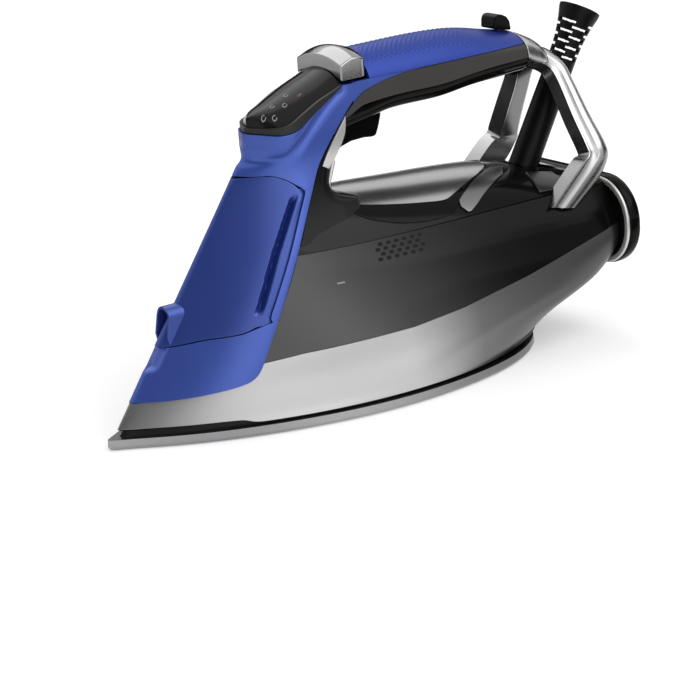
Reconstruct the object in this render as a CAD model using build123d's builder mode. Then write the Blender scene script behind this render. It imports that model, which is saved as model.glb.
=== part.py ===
from build123d import *
import math
import os

# Steam iron: heated sole, skirt, see-through water tank, front shell with fill door, handle and cord guard.
# Millimetres and degrees, +Z up, nose towards -X, heel towards +X.
# The origin is the middle of the ironing face; a station is a distance back from the sole's nose tip.

os.makedirs("parts", exist_ok=True)

# Sole and heater
SOLE_LENGTH = 250.0
SOLE_WIDTH = 112.0
SOLE_THICK = 5.0
SOLE_ROUND = 1.8
VENT_DIAMETER = 3.0
VENT_START = 66.0
VENT_PITCH = 13.0
VENT_COUNT = 10
VENT_EDGE = 22.0
VENT_ROW_GAP = 11.0
CASTING_EDGE = 14.0
CASTING_NOSE = 36.0
CASTING_HEIGHT = 11.0
CHANNEL_DEPTH = 2.4
ELEMENT_DIAMETER = 7.6
ELEMENT_SPREAD = 42.0
ELEMENT_NOSE = 84.0
ELEMENT_HEEL = 204.0
TERMINAL_RISE = 14.0
CHAMBER_WIDTH = 24.0
CHAMBER_DEPTH = 6.5
CHAMBER_FRONT = 112.0
CHAMBER_REAR = 190.0
PORT_STATION = 176.0
PORT_DIAMETER = 6.0
GASKET_WIDTH = 2.6
GASKET_HEIGHT = 1.0
COVER_THICK = 1.2
INLET_STATION = 124.0
INLET_DIAMETER = 8.0
DRIP_BORE = 3.0
VALVE_DIAMETER = 10.0
VALVE_SEAT = 38.4
VALVE_TOP = 45.0
SENSOR_STATION = 98.0
SENSOR_DIAMETER = 13.0
SENSOR_HEIGHT = 4.0
SENSOR_CAP = 2.5
FUSE_STATION = 206.0
FUSE_DIAMETER = 5.0
FUSE_HALF = 9.0
FUSE_CLIP_HALF = 4.0
SCREW_DIAMETER = 4.0
HEAD_DIAMETER = 7.0
HEAD_HEIGHT = 2.0
NOTCH_HALF = 0.5
BOSS_DIAMETER = 9.0
SOLE_SCREW_SPOTS = ((74, 0), (186, -31), (186, 31))

# Body mouldings
GROOVE = 2.0
WALL = 2.4
SEAM = 0.2
FIT = 0.3
HEEL_OVERHANG = 36.0
FRAME_TOP = 28.0
BELLY_HEIGHT = 22.0
BELLY_WIDTH = 103.0
SKIRT_TOP = 36.0
SKIRT_TOP_WIDTH = 99.0
SKIRT_REAR = 60.0
SKIRT_FRONT = 20.0
TANK_MIDDLE = 60.0
TANK_WIDTH = 92.0
DECK_SEAM = 80.0
DECK_WIDTH = 72.0
CROWN_RISE = 21.0
HEEL_RISE = 2.0
CROWN_WIDTH = 46.0
PANEL_RISE = 1.4

# Front shell, column and fill door
RIDGE_FOOT = 4.5
RIDGE_RUN = 0.70
EDGE_FOOT = 70.5
EDGE_RUN = 0.578
EDGE_DROP = 2.7
COLUMN_DEPTH = 17.0
SHELL_WALL = 2.4
DOOR_DROP = 19.5
DOOR_SIDE = 5.4
DOOR_GROOVE = 1.8
DOOR_GAP = 0.5
DOOR_THICK = 2.6
HEAD_GAP = 1.4
HINGE_SETBACK = 5.4
HINGE_DROP = 1.6
LUG_RADIUS = 1.4
LUG_HALF = 1.0
PIN_DIAMETER = 1.6
KNUCKLE_END = 2.4
TAB_HALF = 5.8
TAB_WALL = 1.4
TAB_LOW = 44.6
TAB_HIGH = 63.0
FINGER_HALF = 7.0
FILL_HALF = 10.0
FILL_LOW = 56.0
FILL_TOP = 70.0
FILL_MOUTH = 70.0
SEAL_DEPTH = 2.0
TRIM_THICK = 0.8

# Control pod and boost button
POD_HALF = 18.7
POD_NOSE = 89.0
HAND_GAP = 35.5
LENS_EDGE = 1.6
BOARD_HALF = 14.0
BUTTON_FRONT = 136.8
BUTTON_REAR = 153.0
BUTTON_HALF = 18.6
BUTTON_GAP = 1.5
BUTTON_CORNER = 4.0
BUTTON_TRAVEL = 1.5
STEM_SET = 0.4
STEM_DIAMETER = 7.0
SWITCH_STATION = 143.0
SWITCH_SIZE = 7.0
SWITCH_SINK = 4.7
SWITCH_HEIGHT = 3.2

# Handle, trigger and slider
GRIP_DEPTH = 18.8
HANDLE_CROWN = 13.4
HANDLE_HALF = 18.5
HANDLE_CORNER = 9.0
GRIP_WALL = 4.0
TRIGGER_HALF = 8.0
TRIGGER_STATION = 148.5
TRIGGER_DROP = 0.1
TRIGGER_PIN = 3.0
TRIGGER_PIN_HALF = 13.0
TRACK_SLOPE = 0.2
KNOB_HALF = 6.5
SLIDE_TRAVEL = 14.0
NECK_HALF_WIDTH = 2.2
CARRIAGE_DEPTH = 3.3
CARRIAGE_THICK = 1.6
CARRIAGE_HALF = 4.0

# Rear bracket and heel
COLLAR_PROUD = 0.6
TONGUE_DROP = 5.3
TONGUE_HEIGHT = 4.2
TONGUE_LENGTH = 14.0
TONGUE_HALF = 8.0
ARM_WIDE = 12.5
ARM_DEEP = 8.5
ARM_ROUND = 2.6
ARM_BEND = 9.0
FOOT_DROP = 5.0
FOOT_TRIM = 3.2
FOOT_BOSS = 30.0
FOOT_REACH = 35.0
SHANK_END = 41.5
HEEL_DROP = 1.2
BAND_WIDTH = 105.0
BAND_HEIGHT = 45.0
BAND_DEPTH = 1.6
HOLE_ROUND = 10.0
RING_WALL = 9.0
RING_WIDTH = 108.0
RING_HEIGHT = 47.6
RING_DEPTH = 7.4
RING_ROUND = 3.4
COVER_DEPTH = 3.0
REAR_SCREW_SPREAD = 34.0
REAR_SCREW_RISE = 7.2
REAR_BOSS = 12.0

# Cord guard
GUARD_LEAN = 30.0
GUARD_DIAMETER = 15.5
GUARD_START = 12.0
GUARD_ROWS = ((GUARD_START, GUARD_DIAMETER), (88, 14.6), (93, 16.0), (101, 22.0))
GUARD_SLOTS = 10
GUARD_SLOT_START = 58.7
GUARD_SLOT_PITCH = 3.0
GUARD_SLOT_WIDTH = 10.6
GUARD_SLOT_HEIGHT = 1.5
CORD_BORE = 8.0
PIVOT_DROP = 4.0
DRUM_DIAMETER = 19.0
DRUM_HALF = 13.0
TRUNNION_DIAMETER = 6.0
TRUNNION_HALF = 17.0
CRADLE_REACH = 9.0
SLOT_AHEAD = 5.5
SLOT_BEHIND = 24.0
SLOT_HALF = 8.3
TERMINAL_HALF = 12.0
TERMINAL_HEIGHT = 7.0
TERMINAL_PITCH = 7.0

SKIRT_BASE = SOLE_THICK + GROOVE
EDGE_BASE = SKIRT_TOP - EDGE_DROP
CROWN_FRONT = DECK_SEAM + CROWN_RISE
CROWN_REAR = DECK_SEAM + HEEL_RISE
POD_BASE = CROWN_FRONT + HAND_GAP
HANDLE_UNDER = POD_BASE
SPLIT_HEIGHT = HANDLE_UNDER + GRIP_DEPTH
HANDLE_TOP = SPLIT_HEIGHT + HANDLE_CROWN
DOOR_TOP = POD_BASE - DOOR_DROP
CAVITY_TOP = DOOR_TOP - 1
HINGE_STATION = POD_NOSE - HINGE_SETBACK
HINGE_HEIGHT = DOOR_TOP - HINGE_DROP
SHELL_TOP = SPLIT_HEIGHT - FIT
BUTTON_BASE = SPLIT_HEIGHT + BUTTON_GAP
STEM_LOW = BUTTON_BASE + STEM_SET
SWITCH_FLOOR = SPLIT_HEIGHT - SWITCH_SINK
TRIGGER_HEIGHT = HANDLE_UNDER - TRIGGER_DROP
TONGUE_LOW = SPLIT_HEIGHT - TONGUE_DROP
HEEL = SOLE_LENGTH + HEEL_OVERHANG
TAIL = HEEL + 16
BIG = 2 * SOLE_LENGTH
BULKHEAD = HEEL - 54
COLLAR_FRONT = HEEL - 31
UNDER_END = HEEL - 25
COLLAR_REAR = HEEL - 13
FOOT_STATION = HEEL - 33
FOOT_HEIGHT = DECK_SEAM - FOOT_DROP
HEEL_CENTRE = SKIRT_REAR - HEEL_DROP
REAR_SCREW_HEIGHT = HEEL_CENTRE + REAR_SCREW_RISE
PIVOT_STATION = HEEL - 31.2
PIVOT_HEIGHT = DECK_SEAM - PIVOT_DROP
NECK_FRONT = HEEL - 46.2
NECK_REAR = HEEL - 39.8


def at(station):
    """X of a station."""
    return station - SOLE_LENGTH / 2


def smooth(value, knots):
    """Value on a smooth curve through a row of (key, number) knots: a cubic with averaged slopes."""
    last = len(knots) - 1
    i = max([k for k in range(last) if knots[k][0] <= value] or [0])
    keys, numbers = zip(*knots)

    def slope(k):
        low, high = max(k - 1, 0), min(k + 1, last)
        return (numbers[high] - numbers[low]) / (keys[high] - keys[low])

    gap = keys[i + 1] - keys[i]
    t = min(max((value - keys[i]) / gap, 0), 1)
    start = numbers[i] * (1 + 2 * t) * (1 - t) ** 2 + slope(i) * gap * t * (1 - t) ** 2
    return start + numbers[i + 1] * t**2 * (3 - 2 * t) - slope(i + 1) * gap * t**2 * (1 - t)


def fullness(share, nose_power, heel_power):
    """Half width, from 0 to about 1, of an iron's outline at a share of its length."""
    return (1 - (1 - share) ** nose_power) * math.sqrt(max(0, 1 - share**heel_power))


# Body rows: height, tail station, width, nose power, heel power
BODY_ROWS = (
    (SKIRT_BASE, SOLE_LENGTH - 6, SOLE_WIDTH - 5, 3.4, 4.6),
    (BELLY_HEIGHT, HEEL - 20, BELLY_WIDTH, 4.4, 9),
    (SKIRT_TOP, HEEL + 2, SKIRT_TOP_WIDTH, 5.4, 22),
    (TANK_MIDDLE, TAIL, TANK_WIDTH, 6.0, 45),
    (DECK_SEAM, TAIL, DECK_WIDTH, 8.0, 45),
    (CROWN_FRONT + 2, TAIL, CROWN_WIDTH, 10.0, 45),
)
LEVEL_STEP = 11.0
OUTLINE_SHARES = (0.03, 0.1, 0.22, 0.4, 0.6, 0.8, 0.93, 0.99)


def body_row(z):
    """Nose station, tail station, width and powers of the body's outline at a height."""
    rows = [smooth(z, [(row[0], row[i]) for row in BODY_ROWS]) for i in range(1, 5)]
    return [RIDGE_FOOT + RIDGE_RUN * (z - SKIRT_BASE)] + rows


def half_width(station, z):
    """Half width of the body at a station and a height."""
    nose, tail, width, nose_power, heel_power = body_row(z)
    peak = max(fullness(i / 40, nose_power, heel_power) for i in range(41))
    share = min(max((station - nose) / (tail - nose), 0), 1) * OUTLINE_SHARES[-1]
    return width / 2 * fullness(share, nose_power, heel_power) / peak


def closed_outline(z, nose, side):
    """Sketch a symmetric outline: a spline round the nose through the side's points, and a straight rear."""
    points = side[::-1] + [(nose, 0)] + [(x, -y) for x, y in side]
    steps = [i / (len(points) - 1) for i in range(len(points))]
    with BuildSketch(Plane.XY.offset(z)) as outline:
        with BuildLine():
            add(Edge.make_spline([Vector(*point) for point in points], parameters=steps))
            Line(points[-1], points[0])
        make_face()
    return outline.sketch


def iron_outline(z, nose, tail, width, nose_power, heel_power):
    """Sketch a closed iron outline at a height."""
    peak = max(fullness(i / 40, nose_power, heel_power) for i in range(41))
    side = []
    for share in OUTLINE_SHARES:
        half = width / 2 * fullness(share, nose_power, heel_power) / peak
        side.append((at(nose + share / OUTLINE_SHARES[-1] * (tail - nose)), half))
    return closed_outline(z, at(nose), side)


def body_form(inset=0.0):
    """Loft the body's outlines, drawn in by an inset, from the sole's top to above the deck."""
    low, high = SOLE_THICK, CROWN_FRONT + 2
    count = round((high - low) / LEVEL_STEP)
    sections = []
    for i in range(count + 1):
        z = low + (high - low) * i / count
        nose, tail, width, *powers = body_row(z)
        sections.append(iron_outline(z, nose + 1.4 * inset, tail - 1.4 * inset, width - 2 * inset, *powers))
    loft(sections)


def side_profile(points):
    """Sketch a closed side view outline from (station, height) corners."""
    with BuildSketch(Plane.XZ) as outline:
        with BuildLine():
            Polyline(*[(at(station), z) for station, z in points], close=True)
        make_face()
    return outline.sketch


def keep_side(points):
    """Keep what lies inside a side view outline."""
    extrude(side_profile(points), amount=BIG, both=True, mode=Mode.INTERSECT)


def cut_side(points, half=BIG):
    """Cut away what lies inside a side view outline, to a half width."""
    extrude(side_profile(points), amount=half, both=True, mode=Mode.SUBTRACT)


def write(piece, name):
    """Label a finished piece and write its file."""
    piece.part.label = name
    export_step(piece.part, f"parts/{name}.step")


def edge_station(z):
    """Station of the blue shell's rear edge at a height."""
    return EDGE_FOOT + EDGE_RUN * (z - EDGE_BASE)


# Top line of the skirt, from nose to heel
SKIRT_LINE = (
    (-20, SKIRT_FRONT - 1.5),
    (28, SKIRT_FRONT + 0.7),
    (45, SKIRT_FRONT + 2.6),
    (61, SKIRT_FRONT + 5.2),
    (66, SKIRT_FRONT + 7.5),
    (68.8, SKIRT_FRONT + 10.5),
    (EDGE_FOOT, EDGE_BASE),
    (90, SKIRT_TOP - 1),
    (150, SKIRT_TOP),
    (HEEL - 105, SKIRT_TOP + 3),
    (HEEL - 63, SKIRT_TOP + 10),
    (HEEL - 40, SKIRT_TOP + 15),
    (HEEL, SKIRT_REAR),
    (HEEL + 20, SKIRT_REAR + 4.5),
)


# Roof line of the base frame, under the skirt's top line
FRAME_LINE = ((-20, 16.5), (28, 18.5), (58, 22), (72, FRAME_TOP), (TAIL + 20, FRAME_TOP))

# Rear edge of the blue shell, from the skirt to the handle
BLUE_EDGE = [
    (EDGE_FOOT, EDGE_BASE),
    (edge_station(DOOR_TOP + 0.6), DOOR_TOP + 0.6),
    (126, POD_BASE - 9.9),
    (132, POD_BASE - 2.3),
    (138, POD_BASE + 4.9),
    (143, POD_BASE + 10.1),
    (148, POD_BASE + 14.1),
    (BUTTON_REAR + 0.5, POD_BASE + 16.9),
]

# Side view lines of the fill door: foot, rear edge (height, extra setback) and head
DOOR_FOOT = [
    (36, SKIRT_TOP + 8.6),
    (49.4, SKIRT_TOP + 11.1),
    (63.7, SKIRT_TOP + 12.6),
    (EDGE_FOOT, SKIRT_TOP + 15),
]
DOOR_REAR = [(54, 1.2), (60, 1.0), (79.7, 0.4), (DOOR_TOP - 13.5, 0), (DOOR_TOP - 9.7, 0.3)]
DOOR_HEAD = [
    (POD_NOSE + 16.8, DOOR_TOP - 5.8),
    (POD_NOSE + 12.5, DOOR_TOP - 2.4),
    (POD_NOSE + 7, DOOR_TOP - 0.1),
    (POD_NOSE - 5, DOOR_TOP),
    (POD_NOSE - 9, DOOR_TOP - 0.1),
]
TAB_OUTLINE = [(36.2, TAB_HIGH + 1), (33.4, 49), (34.4, TAB_LOW), (52, TAB_LOW + 1.9), (52, TAB_HIGH + 1)]
TAB_HOLLOW = [(30, TAB_HIGH), (30, 40), (46, 40), (47.5, TAB_HIGH)]
FINGER_SCOOP = [(10, 47), (27, 36), (40, 41), (46, 47)]

# Column behind the blue edge, and its trim strips
COLUMN_HEAD = [(127.8, POD_BASE - 8.1), (135.8, POD_BASE - 10.3)]
COLUMN_REAR_LINE = [
    (133.5, POD_BASE - 12.2),
    (130.9, POD_BASE - 16.2),
    (128.8, POD_BASE - 22.3),
    (127.6, CROWN_FRONT + 5.9),
    (127.2, DECK_SEAM + 2),
]
TRIM_OUTLINE = [
    (121.9, POD_BASE - 18.1),
    (137.3, POD_BASE + 3.7),
    (136.9, POD_BASE - 0.9),
    (133.7, POD_BASE - 10.3),
    (125, POD_BASE - 20.1),
]

# Control pod: lower line of the bezel, lens rows (station, edge height, crown) and board
BEZEL_LINE = [
    (80, POD_BASE + 0.7),
    (94, POD_BASE + 0.7),
    (102, POD_BASE + 0.1),
    (109.4, POD_BASE + 1.7),
    (116, POD_BASE + 5.8),
    (123, POD_BASE + 9.9),
    (132, POD_BASE + 15.2),
    (BUTTON_FRONT - 0.4, POD_BASE + 17.9),
]
LENS_ROWS = [
    (86, POD_BASE + 3.4, 2.4),
    (98, POD_BASE + 3.7, 6.4),
    (105, POD_BASE + 4.7, 6.9),
    (113, POD_BASE + 9.0, 6.3),
    (122, POD_BASE + 13.5, 6.2),
    (131.6, POD_BASE + 17.0, 6.6),
    (BUTTON_FRONT - 0.6, POD_BASE + 18.9, 6.8),
]
BOARD_OUTLINE = [
    (111, POD_BASE + 5.1, -1),
    (125, POD_BASE + 12.7, -1),
    (125, POD_BASE + 14.3, 30),
    (111, POD_BASE + 6.7, 30),
]

# Boost button rows: station, then rises over its base of the arch, the side's top and the crown
BUTTON_ROWS = [
    (BUTTON_FRONT, 4.2, 7.5, 11.6),
    ((BUTTON_FRONT + BUTTON_REAR) / 2, 4.7, 10.4, 14.7),
    (BUTTON_REAR, 4.7, 8.8, 13.0),
]

# Lower edge of the grip band
GRIP_LINE = [
    (135.3, HANDLE_UNDER + 1.1),
    (140, HANDLE_UNDER + 2.5),
    (148, HANDLE_UNDER + 6.2),
    (155, HANDLE_UNDER + 7.3),
    (172.6, HANDLE_UNDER + 8.2),
    (197.6, HANDLE_UNDER + 8.2),
    (HEEL - 61, HANDLE_UNDER + 10.5),
    (HEEL - 37, HANDLE_UNDER + 11.5),
]

# Trigger and its slot, measured from the trigger's pivot
TRIGGER_OUTLINE = [
    (-10.9, -16.9),
    (-6.5, -14.4),
    (-0.5, -12.8),
    (7.5, -12.5),
    (13.0, -13.1),
    (15.1, -12.2),
    (18.4, -3.0),
    (18.7, 2.6),
    (1.5, 3.6),
    (-4.5, 1.6),
    (-8.7, -2.4),
    (-11.1, -8.4),
]
TRIGGER_SLOT = [(-12.1, -26.4), (22.5, -26.4), (22.5, 7.0), (1.5, 5.0), (-5.7, 2.8), (-10.9, -3.4)]

# Slider knob: station and rise over its track
KNOB_OUTLINE = [
    (HEEL - 46.5, 0.5),
    (HEEL - 45.5, 6.2),
    (HEEL - 43.4, 8.3),
    (HEEL - 34.3, 7.6),
    (HEEL - 32.2, 5.2),
    (HEEL - 31.4, 0.5),
]

# Bent line of a bracket arm: station, distance from the middle and height
ARM_POINTS = [
    (HEEL - 22, 6.0, TONGUE_LOW),
    (HEEL - 13.5, 13.5, HANDLE_UNDER + 9.5),
    (HEEL - 9.5, 41.5, CROWN_FRONT),
    (HEEL - 37.3, 40.2, DECK_SEAM - 9.5),
]
ARM_BROAD_WAY = (0.69, -0.49, 0.53)

# Underside of the bracket's collar
COLLAR_LINE = [
    (COLLAR_FRONT, HANDLE_UNDER + 11.5),
    (UNDER_END, HANDLE_UNDER + 8.6),
    (COLLAR_REAR, HANDLE_UNDER + 5.0),
]

# Raised deck panel in side view, ending in a point towards the heel
PANEL_OUTLINE = [
    (128.6, CROWN_FRONT + 29),
    (128.6, CROWN_FRONT - 1.8),
    (139, CROWN_FRONT - 5.6),
    (163, CROWN_FRONT - 9.7),
    (188, CROWN_FRONT - 12.3),
    (197.5, CROWN_FRONT - 10.6),
    (207.5, CROWN_FRONT - 4.8),
    (212, CROWN_FRONT + 29),
]


def skirt_line(lift=0.0):
    """The skirt's top line, moved up."""
    return [(station, z + lift) for station, z in SKIRT_LINE]


def between(station, line):
    """Height of a line of straight pieces at a station."""
    for (start, low), (end, high) in zip(line, line[1:]):
        if start <= station <= end:
            return low + (high - low) * (station - start) / (end - start)


def block(stations, halves, heights, mode=Mode.ADD):
    """Add or cut a block between two stations, two widths and two heights."""
    x = at((stations[0] + stations[1]) / 2)
    y = (halves[0] + halves[1]) / 2
    z = (heights[0] + heights[1]) / 2
    with Locations((x, y, z)):
        Box(stations[1] - stations[0], halves[1] - halves[0], heights[1] - heights[0], mode=mode)


def post(station, y, heights, diameter, mode=Mode.ADD):
    """Add or cut an upright cylinder."""
    with Locations((at(station), y, (heights[0] + heights[1]) / 2)):
        Cylinder(diameter / 2, heights[1] - heights[0], mode=mode)


def axle(station, z, sides, diameter, mode=Mode.ADD):
    """Add or cut a cylinder that lies across the iron."""
    with Locations((at(station), (sides[0] + sides[1]) / 2, z)):
        Cylinder(diameter / 2, sides[1] - sides[0], rotation=(90, 0, 0), mode=mode)


def rod(stations, y, z, diameter, mode=Mode.ADD):
    """Add or cut a cylinder that lies along the iron."""
    with Locations((at((stations[0] + stations[1]) / 2), y, z)):
        Cylinder(diameter / 2, stations[1] - stations[0], rotation=(0, 90, 0), mode=mode)


def prism(points, half, mode=Mode.ADD):
    """Add or cut a side view outline, drawn out to a half width on both sides."""
    extrude(side_profile(points), amount=half, both=True, mode=mode)


def arched_form(rows):
    """Loft arches along the iron: rows of station, half width, base height and crown height."""
    sections = []
    for station, half, base, crown in rows:
        with BuildSketch(Plane.YZ.offset(at(station))) as arch:
            with BuildLine():
                ThreePointArc((-half, base), (0, crown), (half, base))
                Line((half, base), (-half, base))
            make_face()
        sections.append(arch.sketch)
    loft(sections)


def sole_outline(z, inset):
    """Sketch the sole's outline, drawn in by an inset."""
    return iron_outline(z, inset, SOLE_LENGTH - inset, SOLE_WIDTH - 2 * inset, 3.3, 4.4)


def sole_half(station, inset):
    """Half width of the sole's outline, drawn in by an inset, at a station."""
    share = (station - inset) / (SOLE_LENGTH - 2 * inset) * OUTLINE_SHARES[-1]
    peak = max(fullness(i / 40, 3.3, 4.4) for i in range(41))
    return (SOLE_WIDTH / 2 - inset) * fullness(share, 3.3, 4.4) / peak


# Front rows: height, nose station, half width at the blue edge, half width at the rear, nose power
FRONT_PROUD = 0.3
FRONT_LOW = SKIRT_FRONT - 6
FRONT_HIGH = HANDLE_TOP + 2


def lower_front_row(z):
    """Front row at a height where the front form lies just proud of the body."""
    edge = edge_station(z)
    halves = [half_width(station, z) + FRONT_PROUD for station in (edge, edge + COLUMN_DEPTH)]
    return (z, body_row(z)[0], *halves, 1.6)


FRONT_ROWS = [lower_front_row(z) for z in (FRONT_LOW, SKIRT_TOP, TANK_MIDDLE, DECK_SEAM)] + [
    (CROWN_FRONT, POD_NOSE - 18.7, CROWN_WIDTH / 2, CROWN_WIDTH / 2, 1.7),
    (POD_BASE - 21, POD_NOSE - 8.6, POD_HALF + 0.9, POD_HALF + 0.9, 2.0),
    (POD_BASE - 14, POD_NOSE - 4.2, POD_HALF - 0.2, POD_HALF - 0.2, 2.8),
    (POD_BASE - 8, POD_NOSE - 1.0, POD_HALF - 0.4, POD_HALF - 0.4, 5.0),
    (POD_BASE, POD_NOSE, POD_HALF, POD_HALF, 7.0),
    (FRONT_HIGH, POD_NOSE + 0.5, POD_HALF, POD_HALF, 7.0),
]
FRONT_SHARES = (0.1, 0.32, 0.65, 1.0)


def front_outline(z, inset):
    """Sketch the front form at a height: a rounded wedge from the ridge back past the blue edge."""
    nose, half, rear_half, power = [smooth(z, [(row[0], row[i]) for row in FRONT_ROWS]) for i in range(1, 5)]
    edge = edge_station(z)
    nose = nose + 1.3 * inset
    side = []
    for share in FRONT_SHARES:
        reach = (half - inset) * (1 - (1 - share) ** power)
        side.append((at(nose + share * (edge - nose)), reach))
    side.append((at(edge + COLUMN_DEPTH), rear_half - inset))
    return closed_outline(z, at(nose), side)


def front_form(inset=0.0):
    """Loft the front form, drawn in by an inset, from the skirt to above the pod."""
    count = round((FRONT_HIGH - FRONT_LOW) / LEVEL_STEP)
    step = (FRONT_HIGH - FRONT_LOW) / count
    loft([front_outline(FRONT_LOW + step * i, inset) for i in range(count + 1)])


# Crown line of the deck: station and height
DECK_LINE = (
    (80, CROWN_FRONT + 0.4),
    (110, CROWN_FRONT + 0.2),
    (142, CROWN_FRONT - 0.2),
    (172, CROWN_FRONT - 2),
    (HEEL - 59, CROWN_FRONT - 6),
    (HEEL - 30, CROWN_FRONT - 11),
    (HEEL, CROWN_REAR),
    (HEEL + 14, CROWN_REAR - 4),
)


def deck_form(inset=0.0):
    """Loft the deck's arches, drawn in by an inset, from ahead of the column to behind the heel."""
    count = 10
    rows = []
    for i in range(count + 1):
        station = 84 + (HEEL + 10 - 84) * i / count
        half = half_width(station, DECK_SEAM) - inset
        rows.append((station, half, DECK_SEAM - 1, smooth(station, DECK_LINE) - inset))
    arched_form(rows)


# Handle rows: station, half width, underside, shoulder and top heights
HANDLE_ROWS = (
    (122, HANDLE_HALF, HANDLE_UNDER - 11.5, SPLIT_HEIGHT - 2.3, HANDLE_TOP - 8.7),
    (138, HANDLE_HALF, HANDLE_UNDER - 5.5, SPLIT_HEIGHT, HANDLE_TOP - 2.7),
    (153.5, HANDLE_HALF, HANDLE_UNDER - 2.7, SPLIT_HEIGHT, HANDLE_TOP - 0.5),
    (170, HANDLE_HALF, HANDLE_UNDER, SPLIT_HEIGHT, HANDLE_TOP),
    (200, HANDLE_HALF, HANDLE_UNDER + 0.4, SPLIT_HEIGHT, HANDLE_TOP),
    (HEEL - 64, HANDLE_HALF - 0.6, HANDLE_UNDER + 2.5, SPLIT_HEIGHT - 0.4, HANDLE_TOP - 1.5),
    (HEEL - 46, HANDLE_HALF - 1.0, HANDLE_UNDER + 3.3, SPLIT_HEIGHT - 1.4, HANDLE_TOP - 5.1),
    (HEEL - 28, HANDLE_HALF - 1.5, HANDLE_UNDER + 4.0, SPLIT_HEIGHT - 2.6, HANDLE_TOP - 8.7),
    (HEEL - 14, HANDLE_HALF - 2.0, HANDLE_UNDER + 2.0, SPLIT_HEIGHT - 4.8, HANDLE_TOP - 12.5),
    (HEEL - 2, HANDLE_HALF - 4.5, HANDLE_UNDER - 4.0, SPLIT_HEIGHT - 10.0, HANDLE_TOP - 19.2),
)


def handle_form(inset=0.0):
    """Loft the handle's loaf-shaped sections, drawn in by an inset."""
    start, end, count = HANDLE_ROWS[0][0], HANDLE_ROWS[-1][0], 10
    sections = []
    for i in range(count + 1):
        station = start + (end - start) * i / count
        values = [smooth(station, [(row[0], row[k]) for row in HANDLE_ROWS]) for k in range(1, 5)]
        half, low, shoulder, top = values[0] - inset, values[1] + inset, values[2], values[3] - inset
        corner = HANDLE_CORNER - inset
        diagonal = corner * (1 - math.sqrt(0.5))
        with BuildSketch(Plane.YZ.offset(at(station))) as loaf:
            with BuildLine():
                ThreePointArc((-half, shoulder), (0, top), (half, shoulder))
                Line((half, shoulder), (half, low + corner))
                right = (half - diagonal, low + diagonal)
                ThreePointArc((half, low + corner), right, (half - corner, low))
                Line((half - corner, low), (corner - half, low))
                left = (diagonal - half, low + diagonal)
                ThreePointArc((corner - half, low), left, (-half, low + corner))
                Line((-half, low + corner), (-half, shoulder))
            make_face()
        sections.append(loaf.sketch)
    loft(sections)


# Sole plate: rounded edge and two rows of steam vents on each side
with BuildPart() as sole_plate:
    edge_steps = ((0, 1.0), (0.35, 0.35), (1, 0))
    lower_edge = [sole_outline(SOLE_ROUND * up, SOLE_ROUND * inset) for up, inset in edge_steps]
    loft(lower_edge + [sole_outline(SOLE_THICK, SOLE_ROUND * 0.2)], ruled=True)
    for row in range(2):
        inset = VENT_EDGE + row * VENT_ROW_GAP
        for k in range(VENT_COUNT):
            station = VENT_START + row * VENT_PITCH / 2 + k * VENT_PITCH
            for side in (-1, 1):
                y = side * sole_half(station, inset)
                post(station, y, (-1, SOLE_THICK + 1), VENT_DIAMETER, Mode.SUBTRACT)
write(sole_plate, "sole_plate")

# Heater casting: steam channel below, chamber and element groove above
CASTING_TOP = SOLE_THICK + CASTING_HEIGHT
CHANNEL_TOP = SOLE_THICK + CHANNEL_DEPTH
ELEMENT_LEVEL = CASTING_TOP - ELEMENT_DIAMETER / 2 - 0.4
ELEMENT_BEND = ELEMENT_SPREAD / 2


def element_path():
    """Line of the element: two legs joined by a half circle towards the nose."""
    bend = at(ELEMENT_NOSE + ELEMENT_BEND)
    heel = at(ELEMENT_HEEL)
    with BuildLine(Plane.XY.offset(ELEMENT_LEVEL)) as path:
        Line((heel, ELEMENT_BEND), (bend, ELEMENT_BEND))
        ThreePointArc((bend, ELEMENT_BEND), (at(ELEMENT_NOSE), 0), (bend, -ELEMENT_BEND))
        Line((bend, -ELEMENT_BEND), (heel, -ELEMENT_BEND))
    return path.line


def element_section(diameter):
    """Round section at the start of the element's line."""
    start = (at(ELEMENT_HEEL), ELEMENT_BEND, ELEMENT_LEVEL)
    with BuildSketch(Plane(origin=start, z_dir=(-1, 0, 0))) as section:
        Circle(diameter / 2)
    return section.sketch


def u_strip(half, heights):
    """Upright walls that follow the element's line."""
    bend = at(ELEMENT_NOSE + ELEMENT_BEND)
    heel = at(ELEMENT_HEEL) + 4
    with BuildSketch(Plane.XY.offset(heights[0])) as strip:
        with Locations((bend, 0)):
            Circle(ELEMENT_BEND + half)
        with Locations(((bend + heel) / 2, 0)):
            Rectangle(heel - bend, 2 * (ELEMENT_BEND + half))
        with Locations((bend, 0)):
            Circle(ELEMENT_BEND - half, mode=Mode.SUBTRACT)
        with Locations(((bend + heel) / 2, 0)):
            Rectangle(heel - bend, 2 * (ELEMENT_BEND - half), mode=Mode.SUBTRACT)
    extrude(strip.sketch, amount=heights[1] - heights[0], mode=Mode.SUBTRACT)


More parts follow.
